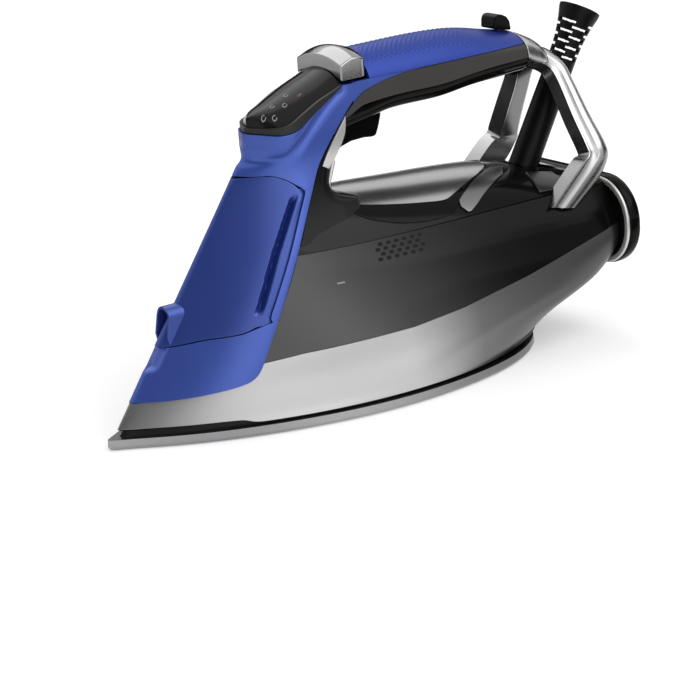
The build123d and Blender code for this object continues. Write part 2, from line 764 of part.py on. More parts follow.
with BuildPart() as heater_casting:
    loft([sole_outline(SOLE_THICK, CASTING_EDGE), sole_outline(CASTING_TOP, CASTING_EDGE + 1.5)], ruled=True)
    keep_side([(CASTING_NOSE, 0), (HEEL, 0), (HEEL, BIG), (CASTING_NOSE, BIG)])
    extrude(sole_outline(SOLE_THICK, VENT_EDGE - 5), amount=CHANNEL_DEPTH, mode=Mode.SUBTRACT)
    extrude(sole_outline(SOLE_THICK, VENT_EDGE + VENT_ROW_GAP + 5), amount=CHANNEL_DEPTH)
    block((PORT_STATION - 6, PORT_STATION + 6), (-24, 24), (SOLE_THICK - 1, CHANNEL_TOP), Mode.SUBTRACT)
    chamber_half = CHAMBER_WIDTH / 2
    chamber_span = (CHAMBER_FRONT, CHAMBER_REAR)
    chamber_rise = (CASTING_TOP - CHAMBER_DEPTH, CASTING_TOP + 1)
    block(chamber_span, (-chamber_half, chamber_half), chamber_rise, Mode.SUBTRACT)
    post(PORT_STATION, 0, (SOLE_THICK, CASTING_TOP), PORT_DIAMETER, Mode.SUBTRACT)
    u_strip(ELEMENT_DIAMETER / 2 + FIT, (ELEMENT_LEVEL - ELEMENT_DIAMETER / 2 - FIT, CASTING_TOP + 1))
    for station, y in SOLE_SCREW_SPOTS:
        post(station, y, (CHANNEL_TOP + 1, CASTING_TOP + 1), SCREW_DIAMETER, Mode.SUBTRACT)
write(heater_casting, "heater_casting")

with BuildPart() as heating_element:
    sweep(element_section(ELEMENT_DIAMETER), path=element_path())
    for side in (-1, 1):
        post(ELEMENT_HEEL - 3, side * ELEMENT_BEND, (ELEMENT_LEVEL, ELEMENT_LEVEL + TERMINAL_RISE), 4)
write(heating_element, "heating_element")

GASKET_TOP = CASTING_TOP + GASKET_HEIGHT
COVER_TOP = GASKET_TOP + COVER_THICK

with BuildPart() as chamber_gasket:
    outer = chamber_half + GASKET_WIDTH
    long_outer = (CHAMBER_FRONT - GASKET_WIDTH, CHAMBER_REAR + GASKET_WIDTH)
    block(long_outer, (-outer, outer), (CASTING_TOP, GASKET_TOP))
    block(chamber_span, (-chamber_half, chamber_half), (CASTING_TOP - 1, GASKET_TOP + 1), Mode.SUBTRACT)
write(chamber_gasket, "chamber_gasket")

with BuildPart() as chamber_cover:
    block(long_outer, (-outer, outer), (GASKET_TOP, COVER_TOP))
    post(INLET_STATION, 0, (COVER_TOP, COVER_TOP + 4), INLET_DIAMETER)
    post(INLET_STATION, 0, (GASKET_TOP - 1, COVER_TOP + 5), DRIP_BORE, Mode.SUBTRACT)
write(chamber_cover, "chamber_cover")

with BuildPart() as temperature_sensor:
    sensor_top = CASTING_TOP + SENSOR_HEIGHT
    post(SENSOR_STATION, 0, (CASTING_TOP, sensor_top), SENSOR_DIAMETER)
    post(SENSOR_STATION, 0, (sensor_top, sensor_top + SENSOR_CAP), SENSOR_DIAMETER - 5)
    tags = (SENSOR_STATION - SENSOR_DIAMETER / 2 - 2.5, SENSOR_STATION + SENSOR_DIAMETER / 2 + 2.5)
    block(tags, (-SENSOR_CAP, SENSOR_CAP), (CASTING_TOP, CASTING_TOP + COVER_THICK))
write(temperature_sensor, "temperature_sensor")

with BuildPart() as thermal_fuse:
    fuse_centre = CASTING_TOP + FUSE_DIAMETER / 2 + SEAM
    axle(FUSE_STATION, fuse_centre, (-FUSE_HALF, FUSE_HALF), FUSE_DIAMETER)
    clip = (FUSE_STATION - FUSE_DIAMETER / 2 - 0.7, FUSE_STATION + FUSE_DIAMETER / 2 + 0.7)
    block(clip, (-FUSE_CLIP_HALF, FUSE_CLIP_HALF), (CASTING_TOP, fuse_centre))
write(thermal_fuse, "thermal_fuse")

# Base frame: dark inverted tray that holds the skirt clear of the hot sole
with BuildPart() as frame_space:
    body_form(WALL + FIT + WALL)
    keep_side([(station, z - WALL) for station, z in FRAME_LINE] + [(TAIL + 20, 0), (-20, 0)])

with BuildPart() as base_frame:
    body_form(WALL + FIT)
    keep_side([*FRAME_LINE, (TAIL + 20, 0), (-20, 0)])
    add(frame_space.part, mode=Mode.SUBTRACT)
    for station, y in SOLE_SCREW_SPOTS:
        post(station, y, (CASTING_TOP, FRAME_TOP - WALL), BOSS_DIAMETER)
        post(station, y, (CASTING_TOP - 1, FRAME_TOP + 1), SCREW_DIAMETER + 2 * FIT, Mode.SUBTRACT)
    post(INLET_STATION, 0, (FRAME_TOP - WALL - 1, FRAME_TOP + 1), VALVE_DIAMETER + 2 * FIT, Mode.SUBTRACT)
    for side in (-1, 1):
        post(ELEMENT_HEEL - 3, side * ELEMENT_BEND, (FRAME_TOP - WALL - 1, FRAME_TOP + 1), 9, Mode.SUBTRACT)
write(base_frame, "base_frame")

with BuildPart() as sole_screws:
    for station, y in SOLE_SCREW_SPOTS:
        post(station, y, (CHANNEL_TOP + 2, FRAME_TOP), SCREW_DIAMETER - 2 * SEAM)
        post(station, y, (FRAME_TOP, FRAME_TOP + HEAD_HEIGHT), HEAD_DIAMETER)
        notch = (station - HEAD_DIAMETER / 3, station + HEAD_DIAMETER / 3)
        block(notch, (y - NOTCH_HALF, y + NOTCH_HALF), (FRAME_TOP + 1.2, FRAME_TOP + 3), Mode.SUBTRACT)
write(sole_screws, "sole_screws")

# Skirt: satin shell between the groove and its top line
with BuildPart() as body_space:
    body_form(WALL)

with BuildPart() as skirt:
    body_form()
    keep_side(skirt_line() + [(HEEL + 20, SKIRT_BASE), (-20, SKIRT_BASE)])
    keep_side([(-20, 0), (HEEL, 0), (HEEL, BIG), (-20, BIG)])
    add(body_space.part, mode=Mode.SUBTRACT)
write(skirt, "skirt")

# Water tank: smoked tub behind the blue edge, with a bulkhead and an open rear compartment
def tank_outline(front, rear, lift, top):
    """Side view outline between the blue edge and a rear station, above the skirt's line."""
    floor = [(station, z) for station, z in skirt_line(lift) if EDGE_FOOT + front < station < rear]
    low_front = (EDGE_FOOT + front, EDGE_BASE + lift)
    high_front = (edge_station(top) + front, top)
    return [high_front, low_front] + floor + [(rear, between(rear, skirt_line(lift))), (rear, top)]


TANK_FLOOR = SEAM + WALL
DECK_JOIN = DECK_SEAM - SEAM / 2

with BuildPart() as tank_space:
    body_form(WALL)
    keep_side(tank_outline(SEAM + WALL, BULKHEAD, TANK_FLOOR, DECK_SEAM + 3))

with BuildPart() as rear_space:
    body_form(WALL)
    keep_side(
        [
            (BULKHEAD + WALL, between(BULKHEAD + WALL, skirt_line(TANK_FLOOR))),
            (HEEL - 40, between(HEEL - 40, skirt_line(TANK_FLOOR))),
            (HEEL + 1, between(HEEL + 1, skirt_line(TANK_FLOOR))),
            (HEEL + 1, DECK_SEAM + 3),
            (BULKHEAD + WALL, DECK_SEAM + 3),
        ]
    )

with BuildPart() as water_tank:
    body_form()
    keep_side(tank_outline(SEAM, HEEL, SEAM, DECK_JOIN))
    add(tank_space.part, mode=Mode.SUBTRACT)
    add(rear_space.part, mode=Mode.SUBTRACT)
    block((EDGE_FOOT, EDGE_FOOT + 40), (-FILL_HALF, FILL_HALF), (FILL_LOW + 2, FILL_TOP - 2), Mode.SUBTRACT)
    post(INLET_STATION, 0, (SKIRT_TOP - 2, SKIRT_TOP + 6), VALVE_DIAMETER + 2 * FIT, Mode.SUBTRACT)
    for sides in ((-FOOT_REACH, -FOOT_BOSS), (FOOT_BOSS, FOOT_REACH)):
        axle(FOOT_STATION, FOOT_HEIGHT, sides, BOSS_DIAMETER)
    axle(FOOT_STATION, FOOT_HEIGHT, (-BIG, BIG), SCREW_DIAMETER + 2 * FIT, Mode.SUBTRACT)
    for y in (-REAR_SCREW_SPREAD, REAR_SCREW_SPREAD):
        rod((HEEL - REAR_BOSS, HEEL), y, REAR_SCREW_HEIGHT, BOSS_DIAMETER)
        rod((HEEL - REAR_BOSS, HEEL), y, REAR_SCREW_HEIGHT, SCREW_DIAMETER + 2 * SEAM, Mode.SUBTRACT)
write(water_tank, "water_tank")

with BuildPart() as drip_valve:
    post(INLET_STATION, 0, (COVER_TOP + 4, VALVE_TOP), VALVE_DIAMETER)
    post(INLET_STATION, 0, (VALVE_SEAT, VALVE_SEAT + 2), VALVE_DIAMETER + 6)
    post(INLET_STATION, 0, (COVER_TOP, VALVE_TOP + 1), DRIP_BORE, Mode.SUBTRACT)
write(drip_valve, "drip_valve")

# Deck cover: arched roof of the tank, with a slot for the cord guard
with BuildPart() as deck_space:
    deck_form(WALL)

with BuildPart() as deck_top:
    deck_form(-SEAM)


def deck_outline(front, rear):
    """Side view outline of the deck between the blue edge and a rear station."""
    low = DECK_SEAM + SEAM / 2
    high = CROWN_FRONT + 9
    return [(edge_station(low) + front, low), (rear, low), (rear, high), (edge_station(high) + front, high)]


with BuildPart() as deck_cover:
    deck_form()
    keep_side(deck_outline(SEAM, HEEL))
    add(deck_space.part, mode=Mode.SUBTRACT)
    slot = (PIVOT_STATION - SLOT_AHEAD, PIVOT_STATION + SLOT_BEHIND)
    block(slot, (-SLOT_HALF, SLOT_HALF), (DECK_SEAM, BIG), Mode.SUBTRACT)
write(deck_cover, "deck_cover")

with BuildPart() as deck_panel:
    deck_form(-PANEL_RISE)
    keep_side(PANEL_OUTLINE)
    add(deck_top.part, mode=Mode.SUBTRACT)
write(deck_panel, "deck_panel")

# Front shell: blue wedge with the door opening, rising into the pod's chin
with BuildPart() as front_space:
    front_form(SHELL_WALL)
    keep_side(
        [(station, z + SHELL_WALL + 1) for station, z in skirt_line(SEAM) if station <= EDGE_FOOT]
        + [(edge_station(z) + 2, z) for z in (EDGE_BASE + SHELL_WALL + 2, CAVITY_TOP)]
        + [(20, CAVITY_TOP)]
    )


def door_outline(side, low, top):
    """Side view outline of the fill door, grown by a gap at its side, foot and top."""
    foot = [(station, z - low) for station, z in DOOR_FOOT]
    rear = [(edge_station(z) - DOOR_SIDE - extra + side, z) for z, extra in DOOR_REAR]
    head = [(station, z + top) for station, z in DOOR_HEAD]
    return [(0, DOOR_FOOT[0][1] - low)] + foot + rear + head + [(0, DOOR_HEAD[-1][1] + top)]


def blue_line(clear):
    """Side view line of the blue rear edge, moved square to itself towards the heel."""
    return [(station + 0.87 * clear, z - 0.5 * clear) for station, z in BLUE_EDGE]


with BuildPart() as front_shell:
    front_form()
    keep_side(
        [(station, z) for station, z in skirt_line(SEAM) if station < EDGE_FOOT]
        + blue_line(0)
        + [(BUTTON_REAR + 0.5, SHELL_TOP), (BUTTON_FRONT + 1, SHELL_TOP)]
        + BEZEL_LINE[::-1]
        + [(-20, BEZEL_LINE[0][1])]
    )
    add(front_space.part, mode=Mode.SUBTRACT)
    prism(door_outline(DOOR_GROOVE, DOOR_GAP, HEAD_GAP), BIG, Mode.SUBTRACT)
    prism(FINGER_SCOOP, FINGER_HALF, Mode.SUBTRACT)
    lug = (HINGE_STATION - LUG_RADIUS, HINGE_STATION + LUG_RADIUS)
    block(lug, (-LUG_HALF, LUG_HALF), (HINGE_HEIGHT, DOOR_HEAD[-1][1] + 4))
    axle(HINGE_STATION, HINGE_HEIGHT, (-LUG_HALF, LUG_HALF), 2 * LUG_RADIUS)
    axle(HINGE_STATION, HINGE_HEIGHT, (-BIG, BIG), PIN_DIAMETER, Mode.SUBTRACT)
    switch_half = SWITCH_SIZE / 2
    switch_span = (SWITCH_STATION - switch_half - FIT, SWITCH_STATION + switch_half + FIT)
    pocket = (-switch_half - FIT, switch_half + FIT)
    block(switch_span, pocket, (SWITCH_FLOOR, SHELL_TOP + 1), Mode.SUBTRACT)
write(front_shell, "front_shell")


def tab_arch(half):
    """Sketch the finger tab's arch across the iron, round at its top."""
    centre = TAB_HIGH - TAB_HALF
    with BuildSketch(Plane.YZ) as arch:
        with Locations((0, centre)):
            Circle(half)
        with Locations((0, (centre + TAB_LOW - TAB_HALF) / 2)):
            Rectangle(2 * half, centre - TAB_LOW + TAB_HALF)
    return arch.sketch


with BuildPart() as tab:
    extrude(tab_arch(TAB_HALF), amount=BIG, both=True)
    keep_side(TAB_OUTLINE)

with BuildPart() as door_space:
    front_form(DOOR_THICK)
    axle(HINGE_STATION, HINGE_HEIGHT, (-KNUCKLE_END, KNUCKLE_END), 2 * LUG_RADIUS, Mode.SUBTRACT)
    add(tab.part, mode=Mode.SUBTRACT)

with BuildPart() as tab_hollow:
    extrude(tab_arch(TAB_HALF - TAB_WALL), amount=BIG, both=True)
    keep_side(TAB_HOLLOW)

with BuildPart() as fill_door:
    front_form()
    keep_side(door_outline(0, 0, 0))
    add(tab.part)
    add(door_space.part, mode=Mode.SUBTRACT)
    add(tab_hollow.part, mode=Mode.SUBTRACT)
    clear = LUG_HALF + FIT
    axle(HINGE_STATION, HINGE_HEIGHT, (-clear, clear), 2 * (LUG_RADIUS + FIT), Mode.SUBTRACT)
    block((HINGE_STATION - 4, HINGE_STATION + 4), (-clear, clear), (HINGE_HEIGHT, BIG), Mode.SUBTRACT)
    axle(HINGE_STATION, HINGE_HEIGHT, (-BIG, BIG), PIN_DIAMETER + 2 * FIT, Mode.SUBTRACT)
write(fill_door, "fill_door")

with BuildPart() as door_hinge_pin:
    axle(HINGE_STATION, HINGE_HEIGHT, (-KNUCKLE_END, KNUCKLE_END), PIN_DIAMETER)
write(door_hinge_pin, "door_hinge_pin")


def funnel_outline(grow, reach):
    """Side view outline of the fill funnel between its mouth and the tank's front wall."""
    low, high = FILL_LOW - grow, FILL_TOP + grow
    return [
        (FILL_MOUTH - reach, high),
        (FILL_MOUTH - reach, low),
        (edge_station(low) + reach, low),
        (edge_station(high) + reach, high),
    ]


with BuildPart() as fill_funnel:
    prism(funnel_outline(0, 0), FILL_HALF + 2)
    prism(funnel_outline(-2, 2), FILL_HALF, Mode.SUBTRACT)
write(fill_funnel, "fill_funnel")

with BuildPart() as door_seal:
    seal = (FILL_MOUTH - SEAL_DEPTH, FILL_MOUTH)
    block(seal, (-FILL_HALF - 2, FILL_HALF + 2), (FILL_LOW, FILL_TOP))
    mouth = (FILL_MOUTH - SEAL_DEPTH - 1, FILL_MOUTH + 1)
    block(mouth, (-FILL_HALF, FILL_HALF), (FILL_LOW + 2, FILL_TOP - 2), Mode.SUBTRACT)
write(door_seal, "door_seal")

# Column behind the blue edge, and its two pale trim strips
with BuildPart() as column_back:
    front_form()
    keep_side(
        [(edge_station(DECK_SEAM + 2) + SEAM, DECK_SEAM + 2)]
        + [point for point in blue_line(SEAM) if CROWN_FRONT < point[1] < COLUMN_HEAD[0][1]]
        + COLUMN_HEAD
        + COLUMN_REAR_LINE
    )
    add(deck_top.part, mode=Mode.SUBTRACT)
write(column_back, "column_back")

with BuildPart() as trim_space:
    front_form(-SEAM)

with BuildPart() as column_trim:
    front_form(-SEAM - TRIM_THICK)
    keep_side(TRIM_OUTLINE)
    add(trim_space.part, mode=Mode.SUBTRACT)
write(column_trim, "column_trim")

# Control pod: bezel, board and crowned lens
def lens_rows(half, drop):
    """Arch rows of the lens at evenly spaced stations, with its base lowered."""
    count = 6
    span = LENS_ROWS[-1][0] - LENS_ROWS[0][0]
    rows = []
    for i in range(count + 1):
        station = LENS_ROWS[0][0] + span * i / count
        edge, crown = [smooth(station, [(row[0], row[k]) for row in LENS_ROWS]) for k in (1, 2)]
        rows.append((station, half, edge - drop, edge + crown))
    return rows


with BuildPart() as lens_space:
    arched_form(lens_rows(POD_HALF + 3, SEAM))

with BuildPart() as panel_bezel:
    front_form()
    keep_side([(station, z + SEAM) for station, z in BEZEL_LINE] + [row[:2] for row in LENS_ROWS[::-1]])
    add(lens_space.part, mode=Mode.SUBTRACT)
    prism([(station, z + SEAM * up) for station, z, up in BOARD_OUTLINE], BOARD_HALF + SEAM, Mode.SUBTRACT)
write(panel_bezel, "panel_bezel")

with BuildPart() as control_board:
    prism([(station, z) for station, z, up in BOARD_OUTLINE], BOARD_HALF)
write(control_board, "control_board")

with BuildPart() as lens_limit:
    front_form(LENS_EDGE)

with BuildPart() as panel_lens:
    arched_form(lens_rows(POD_HALF - LENS_EDGE, 0))
    add(lens_limit.part, mode=Mode.INTERSECT)
write(panel_lens, "panel_lens")

# Boost button: arched cap over the handle's front, on a stem above its switch
with BuildPart() as boost_button:
    caps = []
    for station, *rises in BUTTON_ROWS:
        arch, side, top = [BUTTON_BASE + rise for rise in rises]
        with BuildSketch(Plane.YZ.offset(at(station))) as cap:
            with BuildLine():
                ThreePointArc((-BUTTON_HALF, BUTTON_BASE), (0, arch), (BUTTON_HALF, BUTTON_BASE))
                Line((BUTTON_HALF, BUTTON_BASE), (BUTTON_HALF, side))
                ThreePointArc((BUTTON_HALF, side), (0, top), (-BUTTON_HALF, side))
                Line((-BUTTON_HALF, side), (-BUTTON_HALF, BUTTON_BASE))
            make_face()
        caps.append(cap.sketch)
    loft(caps)
    with BuildSketch() as plan:
        with Locations((at((BUTTON_FRONT + BUTTON_REAR) / 2), 0)):
            Rectangle(BUTTON_REAR - BUTTON_FRONT, 2 * BUTTON_HALF)
        fillet(plan.vertices().group_by(Axis.X)[-1], BUTTON_CORNER)
    extrude(plan.sketch, amount=BIG, mode=Mode.INTERSECT)
    post(SWITCH_STATION, 0, (STEM_LOW, STEM_LOW + STEM_DIAMETER), STEM_DIAMETER)
write(boost_button, "boost_button")

with BuildPart() as boost_switch:
    switch_span = (SWITCH_STATION - switch_half, SWITCH_STATION + switch_half)
    block(switch_span, (-switch_half, switch_half), (SWITCH_FLOOR, SWITCH_FLOOR + SWITCH_HEIGHT))
    post(SWITCH_STATION, 0, (SWITCH_FLOOR + SWITCH_HEIGHT, STEM_LOW - BUTTON_TRAVEL - FIT), STEM_DIAMETER - 2)
write(boost_switch, "boost_switch")

# Handle in three layers: blue top, grey grip band and gloss underside
HANDLE_FRONT = BUTTON_REAR + 0.7
HANDLE_END = COLLAR_FRONT - SEAM

with BuildPart() as handle_space:
    handle_form(WALL)

with BuildPart() as handle_shell:
    handle_form()
    low = SPLIT_HEIGHT + SEAM
    keep_side([(HANDLE_FRONT, low), (HANDLE_END, low), (HANDLE_END, BIG), (HANDLE_FRONT, BIG)])
    add(handle_space.part, mode=Mode.SUBTRACT)
    slot = (NECK_FRONT - SLIDE_TRAVEL - FIT, NECK_REAR + FIT)
    block(slot, (-NECK_HALF_WIDTH - FIT, NECK_HALF_WIDTH + FIT), (SPLIT_HEIGHT, BIG), Mode.SUBTRACT)
write(handle_shell, "handle_shell")

with BuildPart() as grip_space:
    handle_form(GRIP_WALL)
    keep_side([(HANDLE_FRONT + 10, TONGUE_LOW), (BIG, TONGUE_LOW), (BIG, BIG), (HANDLE_FRONT + 10, BIG)])

with BuildPart() as handle_grip:
    handle_form()
    keep_side(
        GRIP_LINE
        + [(HANDLE_END, GRIP_LINE[-1][1]), (HANDLE_END, SPLIT_HEIGHT), (HANDLE_FRONT, SPLIT_HEIGHT)]
        + [point for point in blue_line(SEAM)[::-1] if point[1] > GRIP_LINE[0][1] + 1]
    )
    add(grip_space.part, mode=Mode.SUBTRACT)
write(handle_grip, "handle_grip")

PIN_SPAN = (-TRIGGER_PIN_HALF, TRIGGER_PIN_HALF)


def from_pivot(points):
    """Side view points that are measured from the trigger's pivot."""
    return [(TRIGGER_STATION + back, TRIGGER_HEIGHT + up) for back, up in points]


with BuildPart() as handle_under:
    handle_form()
    keep_side(
        [(station, z + SEAM) for station, z in COLUMN_HEAD]
        + [(COLUMN_HEAD[-1][0], CROWN_FRONT), (UNDER_END, CROWN_FRONT)]
        + [(station, z - SEAM) for station, z in COLLAR_LINE[1::-1]]
        + [(station, z - SEAM) for station, z in GRIP_LINE[::-1]]
        + [point for point in blue_line(SEAM)[::-1] if COLUMN_HEAD[0][1] + 1 < point[1] < GRIP_LINE[0][1] - 1]
    )
    prism(from_pivot(TRIGGER_SLOT), TRIGGER_HALF + FIT, Mode.SUBTRACT)
    axle(TRIGGER_STATION, TRIGGER_HEIGHT, PIN_SPAN, TRIGGER_PIN, Mode.SUBTRACT)
write(handle_under, "handle_under")

# Steam trigger on a cross pin, with its switch above
with BuildPart() as steam_trigger:
    prism(from_pivot(TRIGGER_OUTLINE), TRIGGER_HALF)
    fillet(steam_trigger.edges().filter_by(Axis.Y).group_by(Axis.Z)[0], 1.5)
    axle(TRIGGER_STATION, TRIGGER_HEIGHT, (-BIG, BIG), TRIGGER_PIN + 2 * FIT, Mode.SUBTRACT)
write(steam_trigger, "steam_trigger")

with BuildPart() as trigger_pin:
    axle(TRIGGER_STATION, TRIGGER_HEIGHT, PIN_SPAN, TRIGGER_PIN - 0.02)
write(trigger_pin, "trigger_pin")

# Slider knob on the handle's sloping rear, with its carriage under the slot
def on_track(station, rise):
    """Side view point at a height over the handle's sloping track."""
    return (station, HANDLE_TOP - 5.1 - TRACK_SLOPE * (station - HEEL + 46) + rise)


with BuildPart() as slider_knob:
    prism([on_track(station, rise) for station, rise in KNOB_OUTLINE], KNOB_HALF)
    fillet(slider_knob.edges().filter_by(Plane.XZ), 1.2)
    neck = [(NECK_FRONT, -CARRIAGE_DEPTH), (NECK_REAR, -CARRIAGE_DEPTH), (NECK_REAR, 2), (NECK_FRONT, 2)]
    prism([on_track(station, rise) for station, rise in neck], NECK_HALF_WIDTH)
write(slider_knob, "slider_knob")

with BuildPart() as slider_carriage:
    low = -CARRIAGE_DEPTH - CARRIAGE_THICK
    front, rear = NECK_FRONT - 3, NECK_REAR + 3
    plate = [(front, low), (rear, low), (rear, -CARRIAGE_DEPTH), (front, -CARRIAGE_DEPTH)]
    prism([on_track(station, rise) for station, rise in plate], CARRIAGE_HALF)
write(slider_carriage, "slider_carriage")

# Rear bracket: saddle on the handle's end and two bent arms down to the tank's sides
with BuildPart() as tank_limit:
    body_form(-SEAM)

def arm_line(side):
    """Bent line of one arm, from the collar to its foot."""
    with BuildLine() as line:
        FilletPolyline(*[(at(station), side * y, z) for station, y, z in ARM_POINTS], radius=ARM_BEND)
    return line.line


def arm_section(side):
    """Flat rounded section at an arm's start."""
    start, second = [Vector(at(station), side * y, z) for station, y, z in ARM_POINTS[:2]]
    broad_way = (ARM_BROAD_WAY[0], side * ARM_BROAD_WAY[1], ARM_BROAD_WAY[2])
    with BuildSketch(Plane(origin=start, x_dir=broad_way, z_dir=second - start)) as section:
        RectangleRounded(ARM_WIDE, ARM_DEEP, ARM_ROUND)
    return section.sketch


with BuildPart() as rear_bracket:
    handle_form(-COLLAR_PROUD)
    keep_side([*COLLAR_LINE, (COLLAR_REAR, BIG), (COLLAR_FRONT, BIG)])
    for side in (-1, 1):
        sweep(arm_section(side), path=arm_line(side))
    under_end = UNDER_END + SEAM
    cut_side(
        [(0, HANDLE_UNDER - 10), (under_end, HANDLE_UNDER - 10), (under_end, COLLAR_LINE[1][1])]
        + [COLLAR_LINE[0], (COLLAR_FRONT, BIG), (0, BIG)]
    )
    tongue = (COLLAR_FRONT - TONGUE_LENGTH, COLLAR_FRONT + 1)
    block(tongue, (-TONGUE_HALF, TONGUE_HALF), (TONGUE_LOW + SEAM, TONGUE_LOW + TONGUE_HEIGHT))
    foot_low = FOOT_HEIGHT - FOOT_TRIM
    keep_side([(0, foot_low), (BIG, foot_low), (BIG, BIG), (0, BIG)])
    add(tank_limit.part, mode=Mode.SUBTRACT)
    axle(FOOT_STATION, FOOT_HEIGHT, (-SHANK_END, SHANK_END), SCREW_DIAMETER + 2 * FIT, Mode.SUBTRACT)
write(rear_bracket, "rear_bracket")

with BuildPart() as bracket_screws:
    for side in (-1, 1):
        shank = sorted((side * FOOT_BOSS, side * (SHANK_END - FIT)))
        axle(FOOT_STATION, FOOT_HEIGHT, shank, SCREW_DIAMETER)
        head = sorted((side * FOOT_BOSS, side * (FOOT_BOSS - HEAD_HEIGHT)))
        axle(FOOT_STATION, FOOT_HEIGHT, head, HEAD_DIAMETER)
write(bracket_screws, "bracket_screws")

# Heel: light band, gloss ring and the cover between them
def heel_ring_sketch(station, width, height, round_by):
    """Rounded outline standing across the heel."""
    with BuildSketch(Plane.YZ.offset(at(station))) as outline:
        with Locations((0, HEEL_CENTRE)):
            RectangleRounded(width, height, round_by)
    return outline.sketch


HOLE_WIDTH = BAND_WIDTH - 2 * RING_WALL
HOLE_HEIGHT = BAND_HEIGHT - 2 * RING_WALL

with BuildPart() as heel_band:
    extrude(heel_ring_sketch(HEEL, BAND_WIDTH, BAND_HEIGHT, BAND_HEIGHT / 2 - 1), amount=BAND_DEPTH)
    hole = heel_ring_sketch(HEEL, HOLE_WIDTH, HOLE_HEIGHT, HOLE_ROUND)
    extrude(hole, amount=BAND_DEPTH, mode=Mode.SUBTRACT)
write(heel_band, "heel_band")

with BuildPart() as heel_ring:
    start = HEEL + BAND_DEPTH
    extrude(heel_ring_sketch(start, RING_WIDTH, RING_HEIGHT, RING_HEIGHT / 2 - 1), amount=RING_DEPTH)
    fillet(heel_ring.edges().filter_by(Plane.YZ), RING_ROUND)
    hole = heel_ring_sketch(start, HOLE_WIDTH, HOLE_HEIGHT, HOLE_ROUND)
    extrude(hole, amount=RING_DEPTH, mode=Mode.SUBTRACT)
write(heel_ring, "heel_ring")

with BuildPart() as rear_cover:
    plate = heel_ring_sketch(HEEL, HOLE_WIDTH - 2 * SEAM, HOLE_HEIGHT - 2 * SEAM, HOLE_ROUND - SEAM)
    extrude(plate, amount=COVER_DEPTH)
    for y in (-REAR_SCREW_SPREAD, REAR_SCREW_SPREAD):
        rod((HEEL, HEEL + COVER_DEPTH), y, REAR_SCREW_HEIGHT, SCREW_DIAMETER + 2 * FIT, Mode.SUBTRACT)
write(rear_cover, "rear_cover")

with BuildPart() as rear_screws:
    face = HEEL + COVER_DEPTH
    for y in (-REAR_SCREW_SPREAD, REAR_SCREW_SPREAD):
        rod((HEEL - REAR_BOSS + 2, face), y, REAR_SCREW_HEIGHT, SCREW_DIAMETER)
        rod((face, face + HEAD_HEIGHT), y, REAR_SCREW_HEIGHT, HEAD_DIAMETER)
        notch = (REAR_SCREW_HEIGHT - NOTCH_HALF, REAR_SCREW_HEIGHT + NOTCH_HALF)
        block((face + 1.2, face + 3), (y - HEAD_DIAMETER / 3, y + HEAD_DIAMETER / 3), notch, Mode.SUBTRACT)
write(rear_screws, "rear_screws")

# Cord guard on a swivel drum
GUARD_AXIS = (math.sin(math.radians(GUARD_LEAN)), 0, math.cos(math.radians(GUARD_LEAN)))
GUARD_PLANE = Plane(origin=(at(PIVOT_STATION), 0, PIVOT_HEIGHT), x_dir=(0, 1, 0), z_dir=GUARD_AXIS)

with BuildPart() as cord_drum:
    axle(PIVOT_STATION, PIVOT_HEIGHT, (-DRUM_HALF, DRUM_HALF), DRUM_DIAMETER)
    axle(PIVOT_STATION, PIVOT_HEIGHT, (-TRUNNION_HALF, TRUNNION_HALF), TRUNNION_DIAMETER)
    with BuildSketch(GUARD_PLANE) as neck_disc:
        Circle(GUARD_DIAMETER / 2 - 1)
    extrude(neck_disc.sketch, amount=GUARD_START)
    with BuildSketch(GUARD_PLANE.offset(-DRUM_DIAMETER)) as cord_disc:
        Circle(CORD_BORE / 2)
    extrude(cord_disc.sketch, amount=3 * DRUM_DIAMETER, mode=Mode.SUBTRACT)
write(cord_drum, "cord_drum")

with BuildPart() as cord_guard:
    rings = []
    for height, diameter in GUARD_ROWS:
        with BuildSketch(GUARD_PLANE.offset(height)) as ring:
            Circle(diameter / 2)
        rings.append(ring.sketch)
    loft(rings, ruled=True)
    with BuildSketch(GUARD_PLANE) as bore:
        Circle(CORD_BORE / 2)
    extrude(bore.sketch, amount=BIG, mode=Mode.SUBTRACT)
    for k in range(GUARD_SLOTS):
        with Locations(GUARD_PLANE.offset(GUARD_SLOT_START + k * GUARD_SLOT_PITCH)):
            across = [GUARD_SLOT_WIDTH, 2 * GUARD_DIAMETER]
            Box(across[k % 2], across[1 - k % 2], GUARD_SLOT_HEIGHT, mode=Mode.SUBTRACT)
write(cord_guard, "cord_guard")

with BuildPart() as drum_cradle:
    front, rear = PIVOT_STATION - CRADLE_REACH, PIVOT_STATION + CRADLE_REACH
    feet = [(station, between(station, skirt_line(TANK_FLOOR)) + SEAM) for station in (front, rear)]
    cheeks = feet + [(rear, PIVOT_HEIGHT + TRUNNION_DIAMETER), (front, PIVOT_HEIGHT + TRUNNION_DIAMETER)]
    prism(cheeks, TRUNNION_HALF + FIT)
    high = PIVOT_HEIGHT - DRUM_DIAMETER / 2 - 1
    inner = DRUM_HALF + 2 * FIT
    block((front - 1, rear + 1), (-inner, inner), (high, PIVOT_HEIGHT + 2 * TRUNNION_DIAMETER), Mode.SUBTRACT)
    axle(PIVOT_STATION, PIVOT_HEIGHT, (-BIG, BIG), TRUNNION_DIAMETER + 2 * FIT, Mode.SUBTRACT)
write(drum_cradle, "drum_cradle")

